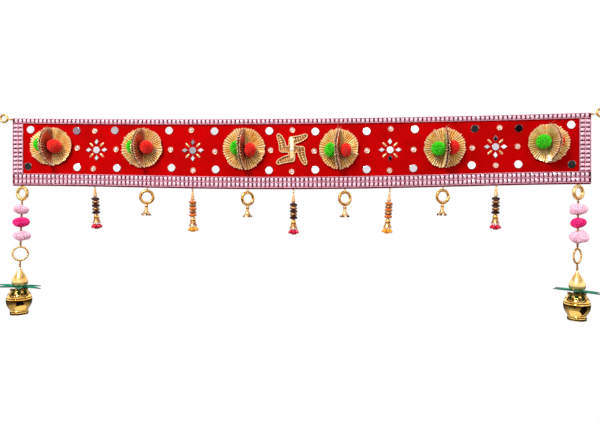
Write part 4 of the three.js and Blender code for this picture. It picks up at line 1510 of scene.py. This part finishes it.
def hang_side(word, x, lean, upper_turn, lower_turn, front_rise):
    """Makes one side hanging from the hem down, with its pieces named by its side."""
    hem = hem_at(x)

    def at(below):
        return (x + lean * min(1, below / pot_top), 0, hem - below)

    def hang_part(kind, shape, material, slot_name, node, sharp=60):
        piece = make_piece(f"{kind}_{word}", shape, material, sharp=sharp)
        return fix(piece, slot_name, f"side_{word}_{node}")

    upper_ring = shifted(wire_ring(upper_ring_radius, upper_ring_wire, upper_turn), *at(upper_ring_below))
    upper_eye = shifted(wire_ring(1.15, 0.4, 90, 20, 8), *at(0.9))
    hang_part("upper_ring", joined([upper_ring, upper_eye]), satin_gold, "gold_metal", "upper_ring")
    rim = rim_places(at(upper_ring_below), upper_ring_radius + upper_ring_wire - 0.25, 42, upper_turn)
    for depth in (0.7 - upper_ring_wire, upper_ring_wire - 0.7):
        rim += rim_places(at(upper_ring_below), upper_ring_radius + 1.6, 40, upper_turn, 0.75, depth)
    fix(set_out(f"upper_beading_{word}", bead_shape(0.8, 7), rim, gold_metal, sharp=60), "gold_metal")

    thread_parts = [rod(at(upper), at(lower), thread_round, 8) for upper, lower in thread_runs]
    thread_eye = stretched(wire_ring(1.5, 0.38, 90, 20, 8), 1, 1, 1.3)
    thread_parts += [shifted(thread_eye, *at(below)) for below in thread_eyes]
    fix(make_piece(f"bead_thread_{word}", joined(thread_parts), gold_thread, sharp=60), "gold_metal")
    bead_places = [(at(below), (0, 0, 0), 1) for below in thread_beads]
    fix(set_out(
        f"thread_beads_{word}", bead_shape(1.9, 12), bead_places, old_gilt, sharp=60
    ), "gold_metal")

    for number, ((below, colour), form) in enumerate(zip(puffs, puff_forms[word]), 1):
        radius, squash, tip, right = form
        net, net_slot, lumps, strand_long, strand_wide, strand_lean = nets[colour]
        puff = yarn_ball(f"net_puff_{word}_{number}", {
            "Radius": radius * mm, "Squash": squash, "Lumps": lumps, "Yarn Long": strand_long * mm,
            "Yarn Wide": strand_wide * mm, "Density": 3.4e6, "Lean": strand_lean,
            "Seed": number + len(word) * 10, "Finish": net,
        }, Vector(at(below)) + Vector((right, 0, 0)), tip)
        fix(puff, net_slot, f"side_{word}_puff_{number}")

    lower_ring = wire_ring(lower_ring_radius, lower_ring_wire, lower_turn, 120, 10, 0.34, 30)
    lower_ring = shifted(lower_ring, *at(lower_ring_below))
    hang_part("lower_ring", lower_ring, gold_metal, "gold_metal", "lower_ring", 70)
    coconut = shifted(turned(coconut_profile, 56), *at(coconut_top))
    hang_part("coconut", coconut, satin_gold, "gold_shell", "coconut")

    blades = [leaf_blade(k * math.pi / 3, 0.6 - front_rise * math.sin(k * math.pi / 3)) for k in range(6)]
    heart = turned([(7.4, 0.5), (7.6, 0.1), (7.2, -0.2)], 24)
    tilted = moved(joined([heart, *blades]), Matrix.Rotation(collar_tilt * deg, 4, "Y"))
    collar_at = at(pot_top - collar_rest)
    collar = hang_part("leaf_collar", shifted(tilted, *collar_at), leaf_cloth, "leaf_cloth", "leaves")
    mark(collar, "tip", lambda px, py, pz: min(1, max(0, (math.hypot(px - collar_at[0], py) - 29) / 6)))

    pot_at = at(pot_top)
    pot_shape = shifted(turned(pot_profile, 120, embossed), *pot_at)
    pot = hang_part("pot", pot_shape, bright_gold, "gold_shell", "pot")
    mark(pot, "recess", lambda px, py, pz: pot_darkening(pz - pot_at[2], math.atan2(py, px - pot_at[0])))


for side_hanging in sides:
    hang_side(*side_hanging)

floor_material = finish("pale_floor", (236, 236, 236), (246, 246, 246), 200, 20, (0.6, 0.7), 0.1)
floor = make_piece("floor", shifted(turned([(1300, 0), (1300, -20)], 96), 0, 0, -2000), floor_material)
